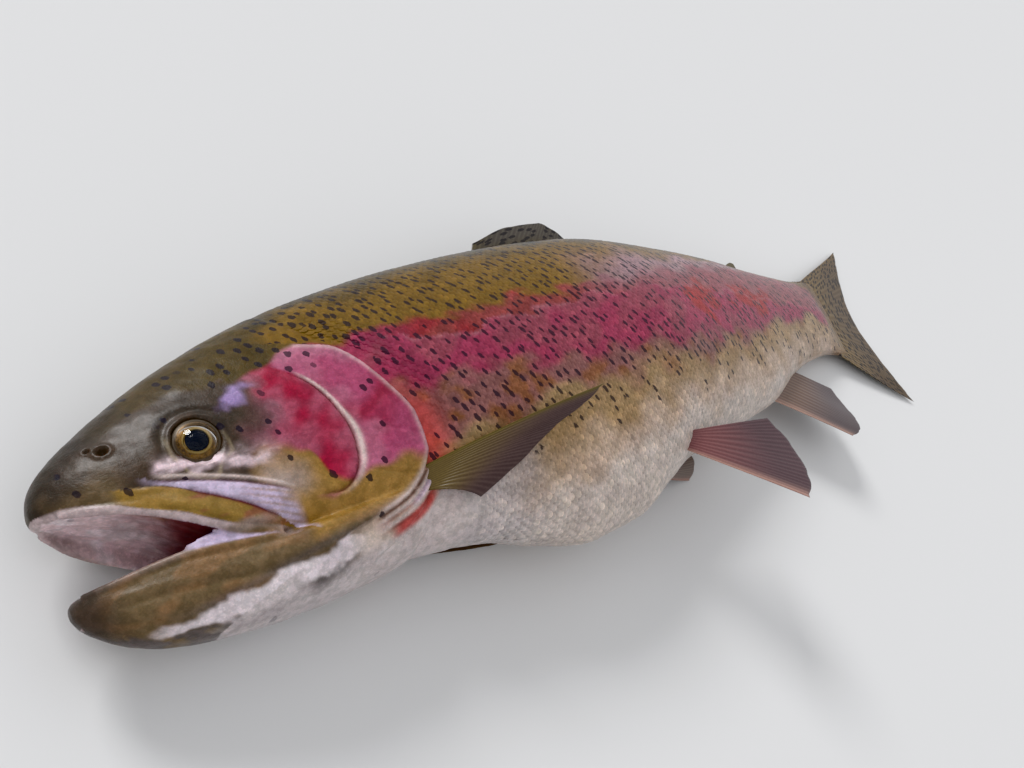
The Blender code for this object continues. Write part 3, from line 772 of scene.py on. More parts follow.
def markings(points, inside):
    """Colour, spotting and silver of the skin at each point of the straightened fish."""
    px, pd, pw = points.T
    x, d = px + 2.5 * drift(points, 16.0, 11), pd + 3.0 * drift(points, 16.0, 12)
    cloud, fine = drift(points, 26.0, 21), drift(points, 7.0, 22)
    back = measures(BODY, np.clip(px, 0, BODY_END))[0]
    gill, gill_along = beside(points, GILL_EDGE)
    behind = np.clip(-gill, 0, None)
    stripe, stripe_along = beside(points, CHEEK_STRIPE)
    band, band_along = beside(points, JAW_BAND)

    # Flank: the levels where the red band and the pale belly start and end.
    top = curve((120, 176, 214, 281, 332, 394, 549, 620, 704), (30, 34, 31, 32, 33, 36, 42, 36, 26), x)
    bottom = curve((150, 186, 216, 251, 296, 345, 407, 469, 630, 704), (0, -3, -6, -9, -13, -18, -21, -20, -13, -8), x)
    pale = curve((190, 219, 371, 409, 520, 704), (-44, -41, -38, -33, -28, -16), x)
    chalk = curve((190, 253, 302, 347, 392, 520, 704), (-64, -71, -68, -62, -54, -46, -24), x)
    lateral = curve((178, 201, 223, 253, 287, 358, 470, 600, 704), (30, 23, 18.5, 19, 20.5, 20, 14, 4, 0), x)
    above = (d - top) / np.maximum(back - top, 6)
    over_line = ramp(-0.6, 0.8, d - lateral)
    rust = np.minimum(np.hypot((x - 462) / 25, (d - 6) / 13), np.hypot((x - 545) / 38, (d - 4) / 10))
    below = ramp(2, -10, d - bottom + 2 * cloud + fine)
    near_base = ramp(24, 3, behind) * ramp(-0.5, 0.5, -gill) * ramp(8, -24, d) * ramp(-56, -46, d)
    flank = painted(
        MAGENTA,
        (BRICK, over_line * window(180, 215, 330, 430, x) * (0.85 + 0.15 * cloud)),
        (ROSE_GREY, over_line * ramp(330, 430, x) * 0.5),
        (ROSE_GREY, ramp(0.1, 1.0, cloud) * 0.3),
        (RUST_RED, ramp(1.2, 0.5, rust + 0.25 * fine) * 0.95),
        (ROSE_GREY, ramp(4, -7, d - bottom + 2.5 * cloud + 2 * fine) * 0.9),
        (ORANGE, below * ramp(-0.1, 1.0, drift(points * (0.7, 1.2, 1), 8.0, 31)) * 0.75),
        (TAN, ramp(8, -9, d - pale + 6 * cloud)),
        (CREAM, ramp(12, -12, d - chalk + 3 * cloud)),
        (BELLY_GREY, ramp(-8, -24, d - chalk)),
        (LATERAL, bump(-0.8, 0.7, d - lateral) * ramp(185, 200, x) * 0.6),
        (OLIVE_GOLD, ramp(-3, 3.5, d - top + 1.5 * fine + 1.5 * cloud)),
        (PALE_LILAC, bump(0.12, 0.26, above + 0.06 * cloud) * window(330, 400, 570, 650, x) * 0.95),
        (OLIVE_DARK, ramp(0.5, 0.95, above + 0.05 * cloud)),
        (BACK_BLACK, ramp(0.9, 1.02, above) * 0.8),
        (TAIL_OLIVE, ramp(600, 690, x) * ramp(-0.3, 0.3, above) * 0.6),
        (TAIL_OLIVE, ramp(684, 708, x + 0.1 * np.abs(d)) * 0.9),
        (GILL_RED, near_base * 0.8 * ramp(0.1, 0.3, gill_along)))
    spotty = (0.64 + 0.31 * ramp(-0.1, 0.25, above) - 0.64 * ramp(-2, -28, d - pale)
              + 0.12 * ramp(540, 600, x) * ramp(-20, -5, d)) * (1 - 0.7 * near_base)
    silver = 0.12 + 0.2 * ramp(6, -6, d - pale)

    # Crown, face, cheek and gill cover.
    round_eye = np.hypot(x - EYE_CENTRE[0], d - EYE_CENTRE[1])
    crease, crease_along = beside(points, CHEEK_CREASE)
    patches = ramp(-0.8, 1.4, drift(points, 12.0, 74))
    crown = painted(
        HEAD_OLIVE,
        (OLIVE_GOLD, ramp(120, 165, x) * window(20, 30, 34, 50, d) * 0.8),
        (HEAD_BROWN, ramp(105, 60, x) * 0.8),
        (SLATE, ramp(44, 20, x - 0.35 * d) * 0.9))
    face = painted(
        MAUVE_GREY,
        (SNOUT_OLIVE, ramp(48, 30, x) * ramp(8, -6, d) * 0.9),
        (SLATE, ramp(30, 10, x) * ramp(-4, 4, d) * 0.8),
        (EYE_RIM, bump(13.4, 1.2, round_eye) * ramp(5, -3, d)),
        (EYE_SHADE, bump(15.5, 5.0, round_eye + 1.5 * fine) * ramp(-7, 5, d) * 0.85))
    olive_level = curve((100, 112, 126, 133, 142), (-13, -18, -23, -37, -47), x)
    cheek = painted(
        CHEEK_ROSE,
        (CRIMSON, bump(10, 13, np.clip(crease, 0, None) + 4 * cloud)),
        (COVER_TOP, patches * 0.3),
        (COVER_OLIVE, ramp(3.5, -4.5, d - olive_level + 3 * cloud) * 0.95),
        (CHEEK_GREY, bump(0, 11, np.hypot(x - 108, (d + 33) * 1.2)) * 0.6),
        (DUSKY_ROSE, ramp(116, 104, x + 4 * fine) * ramp(-26, -14, d) * 0.9))
    cover = painted(
        COVER_PINK,
        (COVER_RED, bump(-10, 14, d + 6 * cloud)),
        (COVER_TOP, ramp(16, 30, d + 0.2 * (x - 150)) * 0.6),
        (COVER_TOP, patches * 0.35),
        (COVER_OLIVE, ramp(-38, -47, d + 3 * cloud + 0.4 * np.clip(x - 175, 0, 20)) * 0.95),
        # Painted highlight along the raised rim of the gill cover.
        (EDGE_HIGHLIGHT, bump(1.4, 1.5, gill) * 0.4))
    up = ramp(-2.5, 3.5, d - curve((0, 20, 50, 75, 105, 125, 150), (-3, 12, 24, 25, 23, 30, 36), x))
    lip_width = 0.65 + 1.3 * bump(0.62, 0.22, crease_along)
    streak = 0.75 + 0.35 * drift(points * (0.5, 1.6, 1.0), 4.0, 71)

    # Upper jaw: the side plate, the fold over it and the lips.
    plate_top, plate_along = beside(points, MAXILLA_TOP)
    plate_lip = beside(points, MAXILLA_LIP)[0]
    crest, crest_along = beside(points, FOLD_LINE)
    crest_ends = window(0, 0.1, 0.85, 1, crest_along)
    fold = ramp(-0.2, -1.2, plate_top) * ramp(0.4, 1.6, crest) * window(46, 58, 100, 112, x)
    creases = np.sin((pd + 0.45 * px + 0.4 * cloud) * 2 * math.pi / 3.4)
    plate = painted(
        PLATE_BROWN,
        (PLATE_ROSE, ramp(-0.2, 0.9, drift(points * (0.6, 1.3, 1), 6.0, 73)) * ramp(52, 62, x) * 0.7),
        (COVER_OLIVE, ramp(62, 45, x) * 0.6))

    # Lower jaw and throat.
    on_jaw = ramp(-44, -47, pd) * ramp(112, 90, px + 0.9 * (pd + 58))
    on_jaw = np.maximum(on_jaw, ramp(-58, -66, pd + 0.12 * (140 - px)))
    under = np.abs(pw) - curve((27, 56, 73, 91, 113, 129, 144), (6, 12, 15, 20.5, 26.5, 29, 30), px)
    in_band = ramp(-1.4, 1.4, band + 0.8 * fine) * ramp(-1.6, 1.6, under + 1.4 * fine + 0.8 * cloud)
    in_band = in_band * ramp(18, 45, px) * ramp(1.0, 0.93, band_along)
    mottles = ramp(-1.8, -0.1, drift(points, 5.0, 81))
    jaw = painted(
        JAW_OLIVE,
        (JAW_RUST, ramp(0.0, 0.8, drift(points * (0.35, 1, 1), 9.0, 51)) * 0.8),
        (LIP, ramp(-52.5, -48.5, pd) * 0.35),
        (JAW_SHADE, bump(-2.0, 2.2, band) * ramp(30, 60, px) * 0.6),
        (THROAT_PALE, ramp(5, 11, band) * ramp(10, 40, px)),
        # The pale band where the jaw's side turns under: its own colour, painted near white as a highlight.
        (JAW_BAND_AND_GLINT, in_band),
        (BREAST, ramp(80, 150, px) * ramp(8, 14, band)),
        (JAW_SHADE, ramp(2, -1.5, under + fine) * ramp(-22, -5, under) * mottles * ramp(152, 130, px) * 0.9),
        (JAW_TIP, ramp(26, 6, px) * 0.9))
    mouth_web = ramp(-0.5, 1.0, pd + 48 + 0.17 * (px - 45)) * ramp(3.2, 4.6, plate_lip) * window(48, 56, 93, 98, px)
    head = painted(
        face,
        (cheek, ramp(91, 106, x + 4 * cloud)),
        (cover, ramp(0.6, -0.6, crease) * ramp(118, 128, x)),
        (crown, up),
        # Painted highlight on the raised lip of the cheek crease, and painted shade in its groove.
        (EDGE_HIGHLIGHT, bump(-1.0, 1.0, crease / lip_width) * window(0.05, 0.2, 0.6, 0.95, crease_along) * 0.95),
        (GROOVE_SHADE, bump(0.7, 0.7, crease) * window(0.05, 0.2, 0.9, 1, crease_along) * 0.8),
        # The pale stripe under the eye: its own pale colour, painted near white and streaked as a highlight along its
        # ridge.
        (PALE_STRIPE_AND_GLINT, bump(0, 4.2, stripe + 1.2 * fine) * window(0, 0.1, 0.6, 1, stripe_along) * streak),
        (LILAC, ramp(1.2, 0.4, np.hypot((x - 98) / 9, (d - 16) / 7) + 0.25 * fine)),
        (FOLD_LILAC, fold * (0.6 + 0.5 * streak)),
        (COVER_OLIVE, fold * ramp(78, 98, x) * ramp(-0.2, 0.9, creases) * 0.5),
        # Painted highlight on the fold's crest, and painted shade in the groove beside it.
        (EDGE_HIGHLIGHT, bump(-0.9, 0.9, crest) * crest_ends * 0.9),
        (GROOVE_SHADE, bump(1.2, 0.7, crest) * crest_ends * 0.6),
        (plate, ramp(-0.6, 0.6, plate_top) * ramp(0.4, -0.4, plate_lip) * ramp(30, 37, x)),
        # Painted shade in the groove along the top of the upper jaw's side plate.
        (GROOVE_SHADE, bump(-0.2, 1.0, plate_top) * window(0.3, 0.5, 0.98, 1, plate_along)),
        (LIP, window(-0.3, 1, 7, 14, plate_lip) * ramp(100, 94, x) * (pd > -60) * 0.95),
        (jaw, on_jaw),
        (FOLD_LILAC, mouth_web))

    # The whole, with the membranes that show below the gill cover.
    on_cover = ramp(-1.2, 0.8, gill) * ramp(1.02, 0.98, gill_along)
    on_head = np.maximum(ramp(196, 176, px + 0.25 * pd) * on_cover, ramp(140, 120, px))
    low = under_cover(points)
    first, second = MEMBRANE_FOLDS
    web = window(first - 0.4, first + 0.6, second - 0.6, second + 0.6, behind) * low
    # Painted highlights on the gill cover's edge and on each membrane fold, with painted shade in the groove just
    # behind each.
    edges = []
    for gap in (-0.4, first, second):
        edges += [(EDGE_HIGHLIGHT, bump(gap, 1.1, -gill) * low * 0.9), (GROOVE_SHADE, bump(gap + 1.7, 0.9, -gill) * low * 0.5)]
    # Lining of the mouth: pink with white patches, dark red further in, and near black deep inside as painted shade.
    lining = painted(
        MOUTH_PINK,
        (MOUTH_WHITE, ramp(0.0, 0.9, drift(points, 9.0, 91)) * 0.7),
        (MOUTH_RED, ramp(34, 66, px + 0.5 * pw + 5 * cloud)),
        (MOUTH_DEPTH_SHADE, ramp(56, 92, px + 0.3 * pw)))
    colour = painted(
        flank,
        (head, on_head),
        (BREAST, ramp(-50, -62, d) * ramp(270, 215, x) * ramp(-3, 3, behind - 12) * 0.8),
        (FOLD_BROWN, window(0.2, 1.2, first - 0.9, first + 0.3, behind) * low),
        (FOLD_LILAC, web * 0.8),
        (COVER_OLIVE, web * ramp(174, 160, x) * 0.7),
        (GILL_RED, window(second, second + 1.4, 12, 15, behind) * low * ramp(150, 164, x) * 0.9),
        *edges,
        (lining, inside))
    head_spots = (0.44 * up * ramp(20, 60, x) + 0.09 * (1 - up)) * ramp(-70, -50, pd) * (1 - fold) * (1 - 0.8 * on_jaw)
    spotty = spotty * (1 - on_head) + head_spots * on_head
    spotty *= 1 - ramp(-44, -52, pd) * ramp(0, 1, behind) * ramp(240, 215, px)
    silver = silver * (1 - on_head) + on_head * (0.1 + 0.5 * bump(-1, 5.0, stripe) + 0.3 * on_jaw * in_band)
    return [np.clip(value, 0, 1) for value in (colour, spotty * (1 - inside), silver * (1 - inside))]


SIDE_STEP = 50.0  # keeps the spots of the two sides apart


def mark(mesh, points, arcs, inside=0.0):
    """Stores the markings and the two coordinates that the spots follow."""
    colour, spotty, silver = markings(points, inside)
    lie = np.column_stack([points[:, 0], arcs, np.sign(points[:, 2]) * SIDE_STEP])
    store(mesh, fish_at=points, lie_at=lie, paint=colour, spotty=spotty, silver=silver)


def skin_piece(finish):
    skin = whole_skin()
    mesh = skin.data
    points = coordinates(mesh)
    fill = fill_of(MOUTH, np.column_stack([np.clip(points[:, 0], 5, 142), points[:, 1:]]))
    toward = normals_of(mesh)[:, 2] * np.sign(points[:, 2])
    inside = ramp(1.22, 1.08, fill) * ramp(0.35, 0.1, toward) * (points[:, 0] > 3) * (points[:, 0] < 146)
    mark(mesh, points, GIRTH.arc_of(points), inside)
    set_coordinates(mesh, placed(points))
    mesh.shade_smooth()
    flesh = [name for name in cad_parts
             if not (name.endswith("fin") or "_fin_" in name or name.startswith("eye"))]
    finished(skin, "skin", finish, *flesh)


# ---------------------------------------------------------------- scales

SCALE_PITCH = 4.7  # spacing along a row
TAIL_PITCH = 3.5
ROW_SHARE = 0.58  # spacing of the rows as a share of that
SCALE_TILT = math.radians(3.4)
SCALE_ROOT = 0.25  # how far the roots lie under the body's surface
SCALE_LIFT = 1.3  # scales nearer to the floor are left out
SCALE_WANDER = 0.12  # unevenness of the rows
COAT_FROM, COAT_TO = 134.0, 700.0
MAP_START, MAP_LENGTH, MAP_GIRTH = 130.0, 620.0, 290.0  # the unrolled flank in the map
MAP_PATCH = 0.003  # one scale in the map
SCALE_HALF = ((0.0, 0.34), (0.50, 0.60), (0.84, 0.60), (1.10, 0.46), (1.28, 0.24))  # outline, in pitches
SCALE_TIP = 1.34


def scale_plate():
    """One scale, with its root at the origin, its free edge at +X and its face towards +Z. Sizes are in pitches."""
    outline = [(0.0, -0.34), *SCALE_HALF, (SCALE_TIP, 0.0), *((x, -y) for x, y in SCALE_HALF[:0:-1])]
    count = near = len(outline)
    far = near + 1
    points = [(x, y, -0.05 * (y / 0.6) ** 2) for x, y in outline] + [(0.50, 0.0, 0.03), (0.98, 0.0, 0.03)]
    faces = [(1, near, 0), (2, near, 1), (far, near, 2), (3, far, 2), *((k + 1, far, k) for k in range(3, 10)),
             (near, far, 10), (0, near, 10), tuple(reversed(range(count)))]
    plate = closed_object("scale", points, faces)
    plate.data.shade_smooth()
    for edge in plate.data.edges:
        edge.use_edge_sharp = max(edge.vertices) < count
    return plate


def scale_sites():
    """Place along the fish, arc round the flank and pitch of every scale on one side."""
    sites, x, pitch = [], COAT_FROM, 0.0
    while x - 0.5 * pitch < COAT_TO:
        pitch = float(np.interp(x, (430, 690), (SCALE_PITCH, TAIL_PITCH)))
        gap, arcs = pitch * ROW_SHARE, GIRTH.table_at(x)
        rows = np.arange(math.ceil(arcs[0] / gap), math.floor(arcs[-1] / gap) + 1)
        rows = rows[(rows + len(sites)) % 2 == 0]
        sites.append(np.column_stack([np.full(len(rows), x), rows * gap, np.full(len(rows), pitch)]))
        x += 0.5 * pitch
    return np.concatenate(sites)


def scale_points(sites, side):
    """The root of every scale, with vectors a millimetre along the fish and up round the flank."""
    x, arc = sites[:, 0], sites[:, 1]
    angle = np.empty(len(x))
    for value in np.unique(x):
        rows = x == value
        angle[rows] = np.interp(arc[rows], GIRTH.table_at(value), GIRTH.angle)

    def root(ahead, turn):
        place = section(BODY, x + ahead, angle + turn, -SCALE_ROOT)
        place[:, 2] *= tail_taper(x + ahead)
        return place

    here = root(0, 0)
    along, up = root(1.0, 0) - here, root(0, 0.01) - root(0, -0.01)
    for vectors in (here, along, up):
        vectors[:, 2] *= side
    outwards = unit(np.cross(along, up) * side)
    here += outwards * (shoulder(here) - 0.4 * ramp(9, 0, here[:, 0] - coat_start(here[:, 1])))[:, None]
    return here, unit(along), unit(up)


def scale_coat(side, word, finish, plate):
    """The scales of one side as one mesh."""
    sites = scale_sites()
    here, along, rise = scale_points(sites, side)
    keep = here[:, 0] > coat_start(here[:, 1])
    sites, here, along, rise = (each[keep] for each in (sites, here, along, rise))
    source = np.random.default_rng(5 + side)
    here = here + rise * source.normal(0, SCALE_WANDER, len(here))[:, None]
    start, tip, top = laid(here), laid(here + along), laid(here + rise)
    lying = start[:, 2] > SCALE_LIFT
    sites, here, rise, start, tip, top = (each[lying] for each in (sites, here, rise, start, tip, top))
    ax = unit(tip - start)
    az = unit(np.cross(ax, top - start) * side)
    ay = np.cross(az, ax)
    tilt = (SCALE_TILT + source.normal(0, 0.008, len(ax)))[:, None]
    ax = ax * np.cos(tilt) + az * np.sin(tilt)
    az = np.cross(ax, ay)
    euler = np.column_stack([np.arctan2(ay[:, 2], az[:, 2]), -np.arcsin(np.clip(ax[:, 2], -1, 1)),
                             np.arctan2(ax[:, 1], ax[:, 0])])
    coat = make_object(f"scales_{word}", start / 1000 + SNOUT, [])
    store(coat.data, turn=euler, size=sites[:, 2] / 1000 * source.uniform(0.96, 1.04, len(sites)))
    tree, plate_key = coat_tree(finish)
    modify(coat, "NODES", node_group=tree)[plate_key] = plate
    mesh = evaluated(coat)
    points = coordinates(mesh)
    points[:, 2] = np.maximum(points[:, 2], FLOOR_CLEARANCE / 1000)
    set_coordinates(mesh, points)

    # What each corner of each scale knows: its place on the straightened fish, on the scale and in the map.
    corners = coordinates(plate.data)
    count = len(corners)
    x, arc, pitch = np.repeat(sites, count, 0).T
    own = np.tile(corners, (len(here), 1))
    local = own * pitch[:, None]
    at = np.repeat(here, count, 0)
    at[:, 0] += local[:, 0]
    at += np.repeat(rise, count, 0) * local[:, 1:2] * side
    mark(mesh, at, arc + local[:, 1] * side)
    store(mesh, scale_at=own, coat=ramp(0, 24, at[:, 0] - coat_start(at[:, 1])),
          own=np.repeat(source.uniform(0, 1, len(here)), count))
    unwrap(mesh, x, arc, own)
    finished(coat, "skin", finish)


def unwrap(mesh, x, arc, own):
    """The map OFBake: each scale is a small patch at its root's place on the unrolled flank."""
    u = 0.02 + (x - MAP_START) / MAP_LENGTH + (own[:, 0] / 1.33 - 0.5) * MAP_PATCH
    v = 0.5 + arc / MAP_GIRTH + own[:, 1] / 1.2 * MAP_PATCH
    index = np.empty(len(mesh.loops), np.int32)
    mesh.loops.foreach_get("vertex_index", index)
    layer = mesh.uv_layers.new(name="OFBake")
    layer.uv.foreach_set("vector", np.column_stack([u, v])[index].astype(np.float32).ravel())


def add_node(tree, kind, settings=None, inputs=None):
    """Any node, with its settings made first and then the values or links of its sockets. Gives its outputs."""
    node = tree.nodes.new(kind)
    for key, value in (settings or {}).items():
        setattr(node, key, value)
    for key, value in (inputs or {}).items():
        connect(tree, node.inputs[key], value)
    return node.outputs


def connect(tree, socket, value):
    """Gives a socket its value, or the output or field that feeds it."""
    if isinstance(value, Field):
        value = value.socket
    if isinstance(value, bpy.types.NodeSocket):
        tree.links.new(value, socket)
    elif isinstance(value, tuple) and len(value) == 3 and len(socket.default_value) == 4:
        socket.default_value = (*value, 1.0)
    else:
        socket.default_value = value


def coat_tree(finish):
    """Puts a plate on every point, turned and sized by the point's own values."""
    tree = bpy.data.node_groups.new("coat of scales", "GeometryNodeTree")
    tree.interface.new_socket("Geometry", in_out="INPUT", socket_type="NodeSocketGeometry")
    plate = tree.interface.new_socket("Plate", in_out="INPUT", socket_type="NodeSocketObject")
    tree.interface.new_socket("Geometry", in_out="OUTPUT", socket_type="NodeSocketGeometry")

    def add(kind, output, settings=None, **inputs):
        return add_node(tree, "GeometryNode" + kind, settings, inputs)[output]

    start = add_node(tree, "NodeGroupInput")
    turn = add("InputNamedAttribute", "Attribute", {"data_type": "FLOAT_VECTOR"}, Name="turn")
    size = add("InputNamedAttribute", "Attribute", {"data_type": "FLOAT"}, Name="size")
    one = add("ObjectInfo", "Geometry", Object=start["Plate"])
    roots = add("MeshToPoints", "Points", Mesh=start["Geometry"])
    many = add("InstanceOnPoints", "Instances", Points=roots, Instance=one, Rotation=turn, Scale=size)
    whole = add("RealizeInstances", "Geometry", Geometry=many)
    whole = add("SetMaterial", "Geometry", Geometry=whole, Material=finish)
    add_node(tree, "NodeGroupOutput", inputs={"Geometry": whole})
    return tree, plate.identifier


# ---------------------------------------------------------------- fins

# Root and tips from the leading ray to the last, number of rays, and how far the blade bulges to the left.
FINS = {
    "dorsal_fin": (((314, 82, 0), (408, 78, 0)),
                   ((327, 100, 0), (366, 108.5, 1), (393, 108, 2), (404, 100, 2), (414, 90, 1)), 13, 0),
    "adipose_fin": (((582, 48, 0), (598, 45, 0)),
                    ((599, 57, 1), (606, 59, 1), (610, 57, 1), (610, 52, 1), (606, 48, 0)), 0, 0),
    "anal_fin": (((540, -66, 0), (602, -48, 0)),
                 ((612, -119, 13), (626, -117, 13), (636, -106, 11), (641, -90, 7), (642, -72, 3)), 13, 0),
    "tail_fin": (((694, 36, 0), (694, -36, 0)),
                 ((788, 82, 0), (773, 56, 1), (757, 0, 1), (773, -58, 1), (789, -86, 0)), 21, 0),
    "pectoral_fin_left": (((184, -48, 36), (182, -61, 31)),
                          ((306, -42, 59), (288, -49, 56), (261, -56, 50), (236, -65, 43), (206, -75, 35)), 14, 5),
    "pectoral_fin_right": (((184, -48, -36), (182, -61, -31)),
                           ((303, -72, -45.5), (288, -82, -46), (262, -87, -45.5), (236, -84, -44), (208, -78, -40)),
                           14, -4),
    "pelvic_fin_left": (((384, -88, 18), (393, -80, 26)),
                        ((425, -154, 52), (438, -146, 50), (450, -130, 46), (457, -108, 42), (456, -92, 38)), 10, 0),
    "pelvic_fin_right": (((384, -88, -18), (393, -80, -26)),
                         ((452, -98, -41), (461, -93, -40.5), (467, -84, -39), (467, -74, -37.5), (460, -66, -36.5)),
                         10, -4),
}
# Colour near the root, near the tips and along the leading ray.
FIN_COLOURS = {
    "dorsal": ((0.095, 0.072, 0.026), (0.085, 0.075, 0.06), (0.1, 0.08, 0.04)),
    "adipose": ((0.14, 0.11, 0.04), (0.1, 0.08, 0.04), (0.1, 0.08, 0.04)),
    "anal": ((0.19, 0.12, 0.085), (0.1, 0.078, 0.08), (0.42, 0.26, 0.2)),
    "tail": ((0.19, 0.13, 0.055), (0.12, 0.085, 0.05), (0.16, 0.11, 0.05)),
    "pectoral": ((0.125, 0.088, 0.03), (0.088, 0.056, 0.052), (0.12, 0.092, 0.016)),
    "pelvic": ((0.2, 0.085, 0.085), (0.09, 0.054, 0.06), (0.42, 0.25, 0.2)),
}
INNER_FACE = (0.13, 0.105, 0.075)  # what the pale inner face adds to the folded fins
SPOTTED_FINS = ("dorsal", "tail", "adipose")
RAY_ACROSS = 8
FIN_STEPS = 60


def ray_relief(across, t, rays):
    """The ridges of a fin's rays, which fork on their way out, and the whole thickness in millimetres."""
    if not rays:
        oval = np.sqrt(np.clip(1 - (2 * across - 1) ** 2, 0.02, 1))
        return np.ones((len(across), t.shape[1])), (1.1 + 0.8 * (1 - t)) * oval
    ray, fork = np.abs(np.cos(math.pi * across * rays)), np.abs(np.sin(2 * math.pi * across * rays))
    forked = ramp(0.4, 0.75, t)
    ridge = ray**3 * (1 - forked) + fork**3 * forked
    blade = 0.35 + 0.25 * (1 - t) + 1.3 * np.exp(-t / 0.06)
    lead = bump(0, 0.035, across) * 0.5 * (1 - 0.6 * t)
    return ridge, blade + ridge * (0.42 - 0.2 * t) * ramp(0.0, 0.25, t) + lead


def sheet_faces(columns, rows):
    """Faces of a closed sheet: an upper grid of points, an under one, and the rim between them."""
    size = columns * rows
    faces = []
    for i in range(columns - 1):
        for a in range(i * rows, (i + 1) * rows - 1):
            b = a + rows
            faces += [(a, b, b + 1, a + 1), (size + a, size + a + 1, size + b + 1, size + b)]
    rim = [*range(0, size, rows), *range(size - rows + 1, size), *range(size - rows - 1, 0, -rows),
           *range(rows - 2, 0, -1)]
    return faces + [(a, size + a, size + b, b) for a, b in zip(rim, rim[1:] + rim[:1])]


def fin_colour(name, kind, across, out):
    near, far, lead = np.array(FIN_COLOURS[kind])
    if name.endswith("right"):
        near, far = 0.5 * near + INNER_FACE, 0.5 * far + INNER_FACE
    return painted(near, (far, ramp(0.1, 0.8, np.clip(out, 0, 1))), (lead, bump(0, 0.09, across) * 0.85))


def fin_piece(name, finish, root, tips, rays, bulge):
    """A fan of forking rays in a thin membrane."""
    columns, rows = max(rays, 3) * RAY_ACROSS + 1, FIN_STEPS
    across, along = np.linspace(0, 1, columns)[:, None], np.linspace(-0.05, 1, rows)
    t = np.clip(along, 0, 1)[None]
    edge = np.column_stack([evenly(column, across[:, 0]) for column in np.array(tips, float).T])
    first, last = np.array(root, float)
    start = first * (1 - across) + last * across
    if rays:
        uneven = 0.004 * (1 - np.abs(np.cos(math.pi * across * rays))) + 0.008 * np.sin(across * rays * 2.3)
        edge = edge + (start - edge) * np.clip(uneven, 0, 1)
    grid = start[:, None] * (1 - along)[None, :, None] + edge[:, None] * along[None, :, None]
    grid[:, :, 2] += bulge * 4 * along * (1 - along)
    normal = unit(np.cross(np.gradient(grid, axis=0), np.gradient(grid, axis=1)))
    ridge, thick = ray_relief(across, t, rays)
    from_side = np.minimum(np.arange(columns), np.arange(columns)[::-1])[:, None]
    thick = thick * ramp(0, 0.02, 1.001 - t) ** 0.5 * np.sqrt(np.clip(from_side / 2.0, 0.05, 1))
    if rays:
        grid = grid + normal * (0.6 * np.sin(across * 9 + 1) * t**2)[..., None]
    offset = normal * np.clip(thick, 0.12, 4)[..., None] / 2
    points = np.concatenate([(grid + offset).reshape(-1, 3), (grid - offset).reshape(-1, 3)])
    fin = closed_object(name + "_rays", points, sheet_faces(columns, rows))

    mesh, kind = fin.data, name.split("_")[0]
    over, out = np.tile(np.repeat(across[:, 0], rows), 2), np.tile(along, 2 * columns)
    reach = np.linalg.norm(edge - start, axis=1).max()
    store(mesh, fin_at=np.column_stack([over * max(rays, 1), out * reach, out]), ray=np.tile(ridge.ravel(), 2),
          fish_at=points, spotty=np.full(len(points), float(kind in SPOTTED_FINS)),
          paint=fin_colour(name, kind, over, out))
    set_coordinates(mesh, placed(points))
    mesh.shade_smooth()
    finished(fin, "fin", finish, name)


# ---------------------------------------------------------------- eyes

PUPIL = 5.7
IRIS = 11.7
DOME = 1.22  # how far round the cornea's profile runs, in radians


def lathe(name, profile, side, segments=72, notch=0.0):
    """A closed turned shape from (radius, height) points that start and end on the axis."""
    profile = np.array(profile, float)
    turn = turn_round(segments)
    radius, height = profile[1:-1, :1], profile[1:-1, 1:]
    radius = radius + notch * bump(PUPIL, 1.0, radius) * np.clip(np.cos(turn - math.pi), 0, 1)[None] ** 4
    rings = np.stack(np.broadcast_arrays(radius * np.cos(turn), radius * np.sin(turn), height), -1)
    own = np.concatenate([[[0, 0, profile[0, 1]]], rings.reshape(-1, 3), [[0, 0, profile[-1, 1]]]])
    faces = [(0, 1 + k, 1 + (k + 1) % segments) for k in range(segments)]
    faces += [tuple(reversed(face)) for face in ring_faces(len(rings), segments, first=1, closed=False)]
    last = len(own) - 1 - segments
    faces += [(last + k, len(own) - 1, last + (k + 1) % segments) for k in range(segments)]
    shape = closed_object(name, placed(eye_place(own, side)), faces)
    x, y, z = own.T
    store(shape.data, eye_at=np.column_stack([np.hypot(x, y), np.arctan2(y, x), z]))
    shape.data.shade_smooth()
    return shape


def eye_pieces(side, word, iris_finish, cornea_finish):
    """An iris with its lens, whose pupil is drawn out forwards, and the clear cornea over it."""
    lens = [(0.0, 5.6)] + [(PUPIL * 0.97 * math.sin(a), 3.0 + 2.6 * math.cos(a))
                           for a in np.linspace(0.15, math.pi / 2, 10)]
    ball = lens + [(PUPIL - 0.1, 3.2), (PUPIL, 4.3), (PUPIL + 0.5, 4.55), (7.5, 4.35), (9.3, 3.9), (IRIS - 0.5, 3.3),
                   (IRIS + 0.2, 2.6), (IRIS + 0.4, 0.0), (9.0, -4.6), (5.0, -6.4), (0.0, -7.0)]
    rise = (EYE_DEPTH - 1.65) / (1 - math.cos(DOME))
    dome = [(0.0, EYE_DEPTH - 0.05)] + [
        ((IRIS + 0.3) * math.sin(a) / math.sin(DOME), 1.6 + rise * (math.cos(a) - math.cos(DOME)))
        for a in np.linspace(0.12, DOME, 12)]
    inner = [(r * 0.96, z - 0.5) for r, z in reversed(dome)]
    finished(lathe(f"eye_{word}_iris", ball, side, notch=0.8), "eye", iris_finish, f"eye_{word}")
    finished(lathe(f"eye_{word}_cornea", dome + inner, side), "eye", cornea_finish)


# ---------------------------------------------------------------- finishes

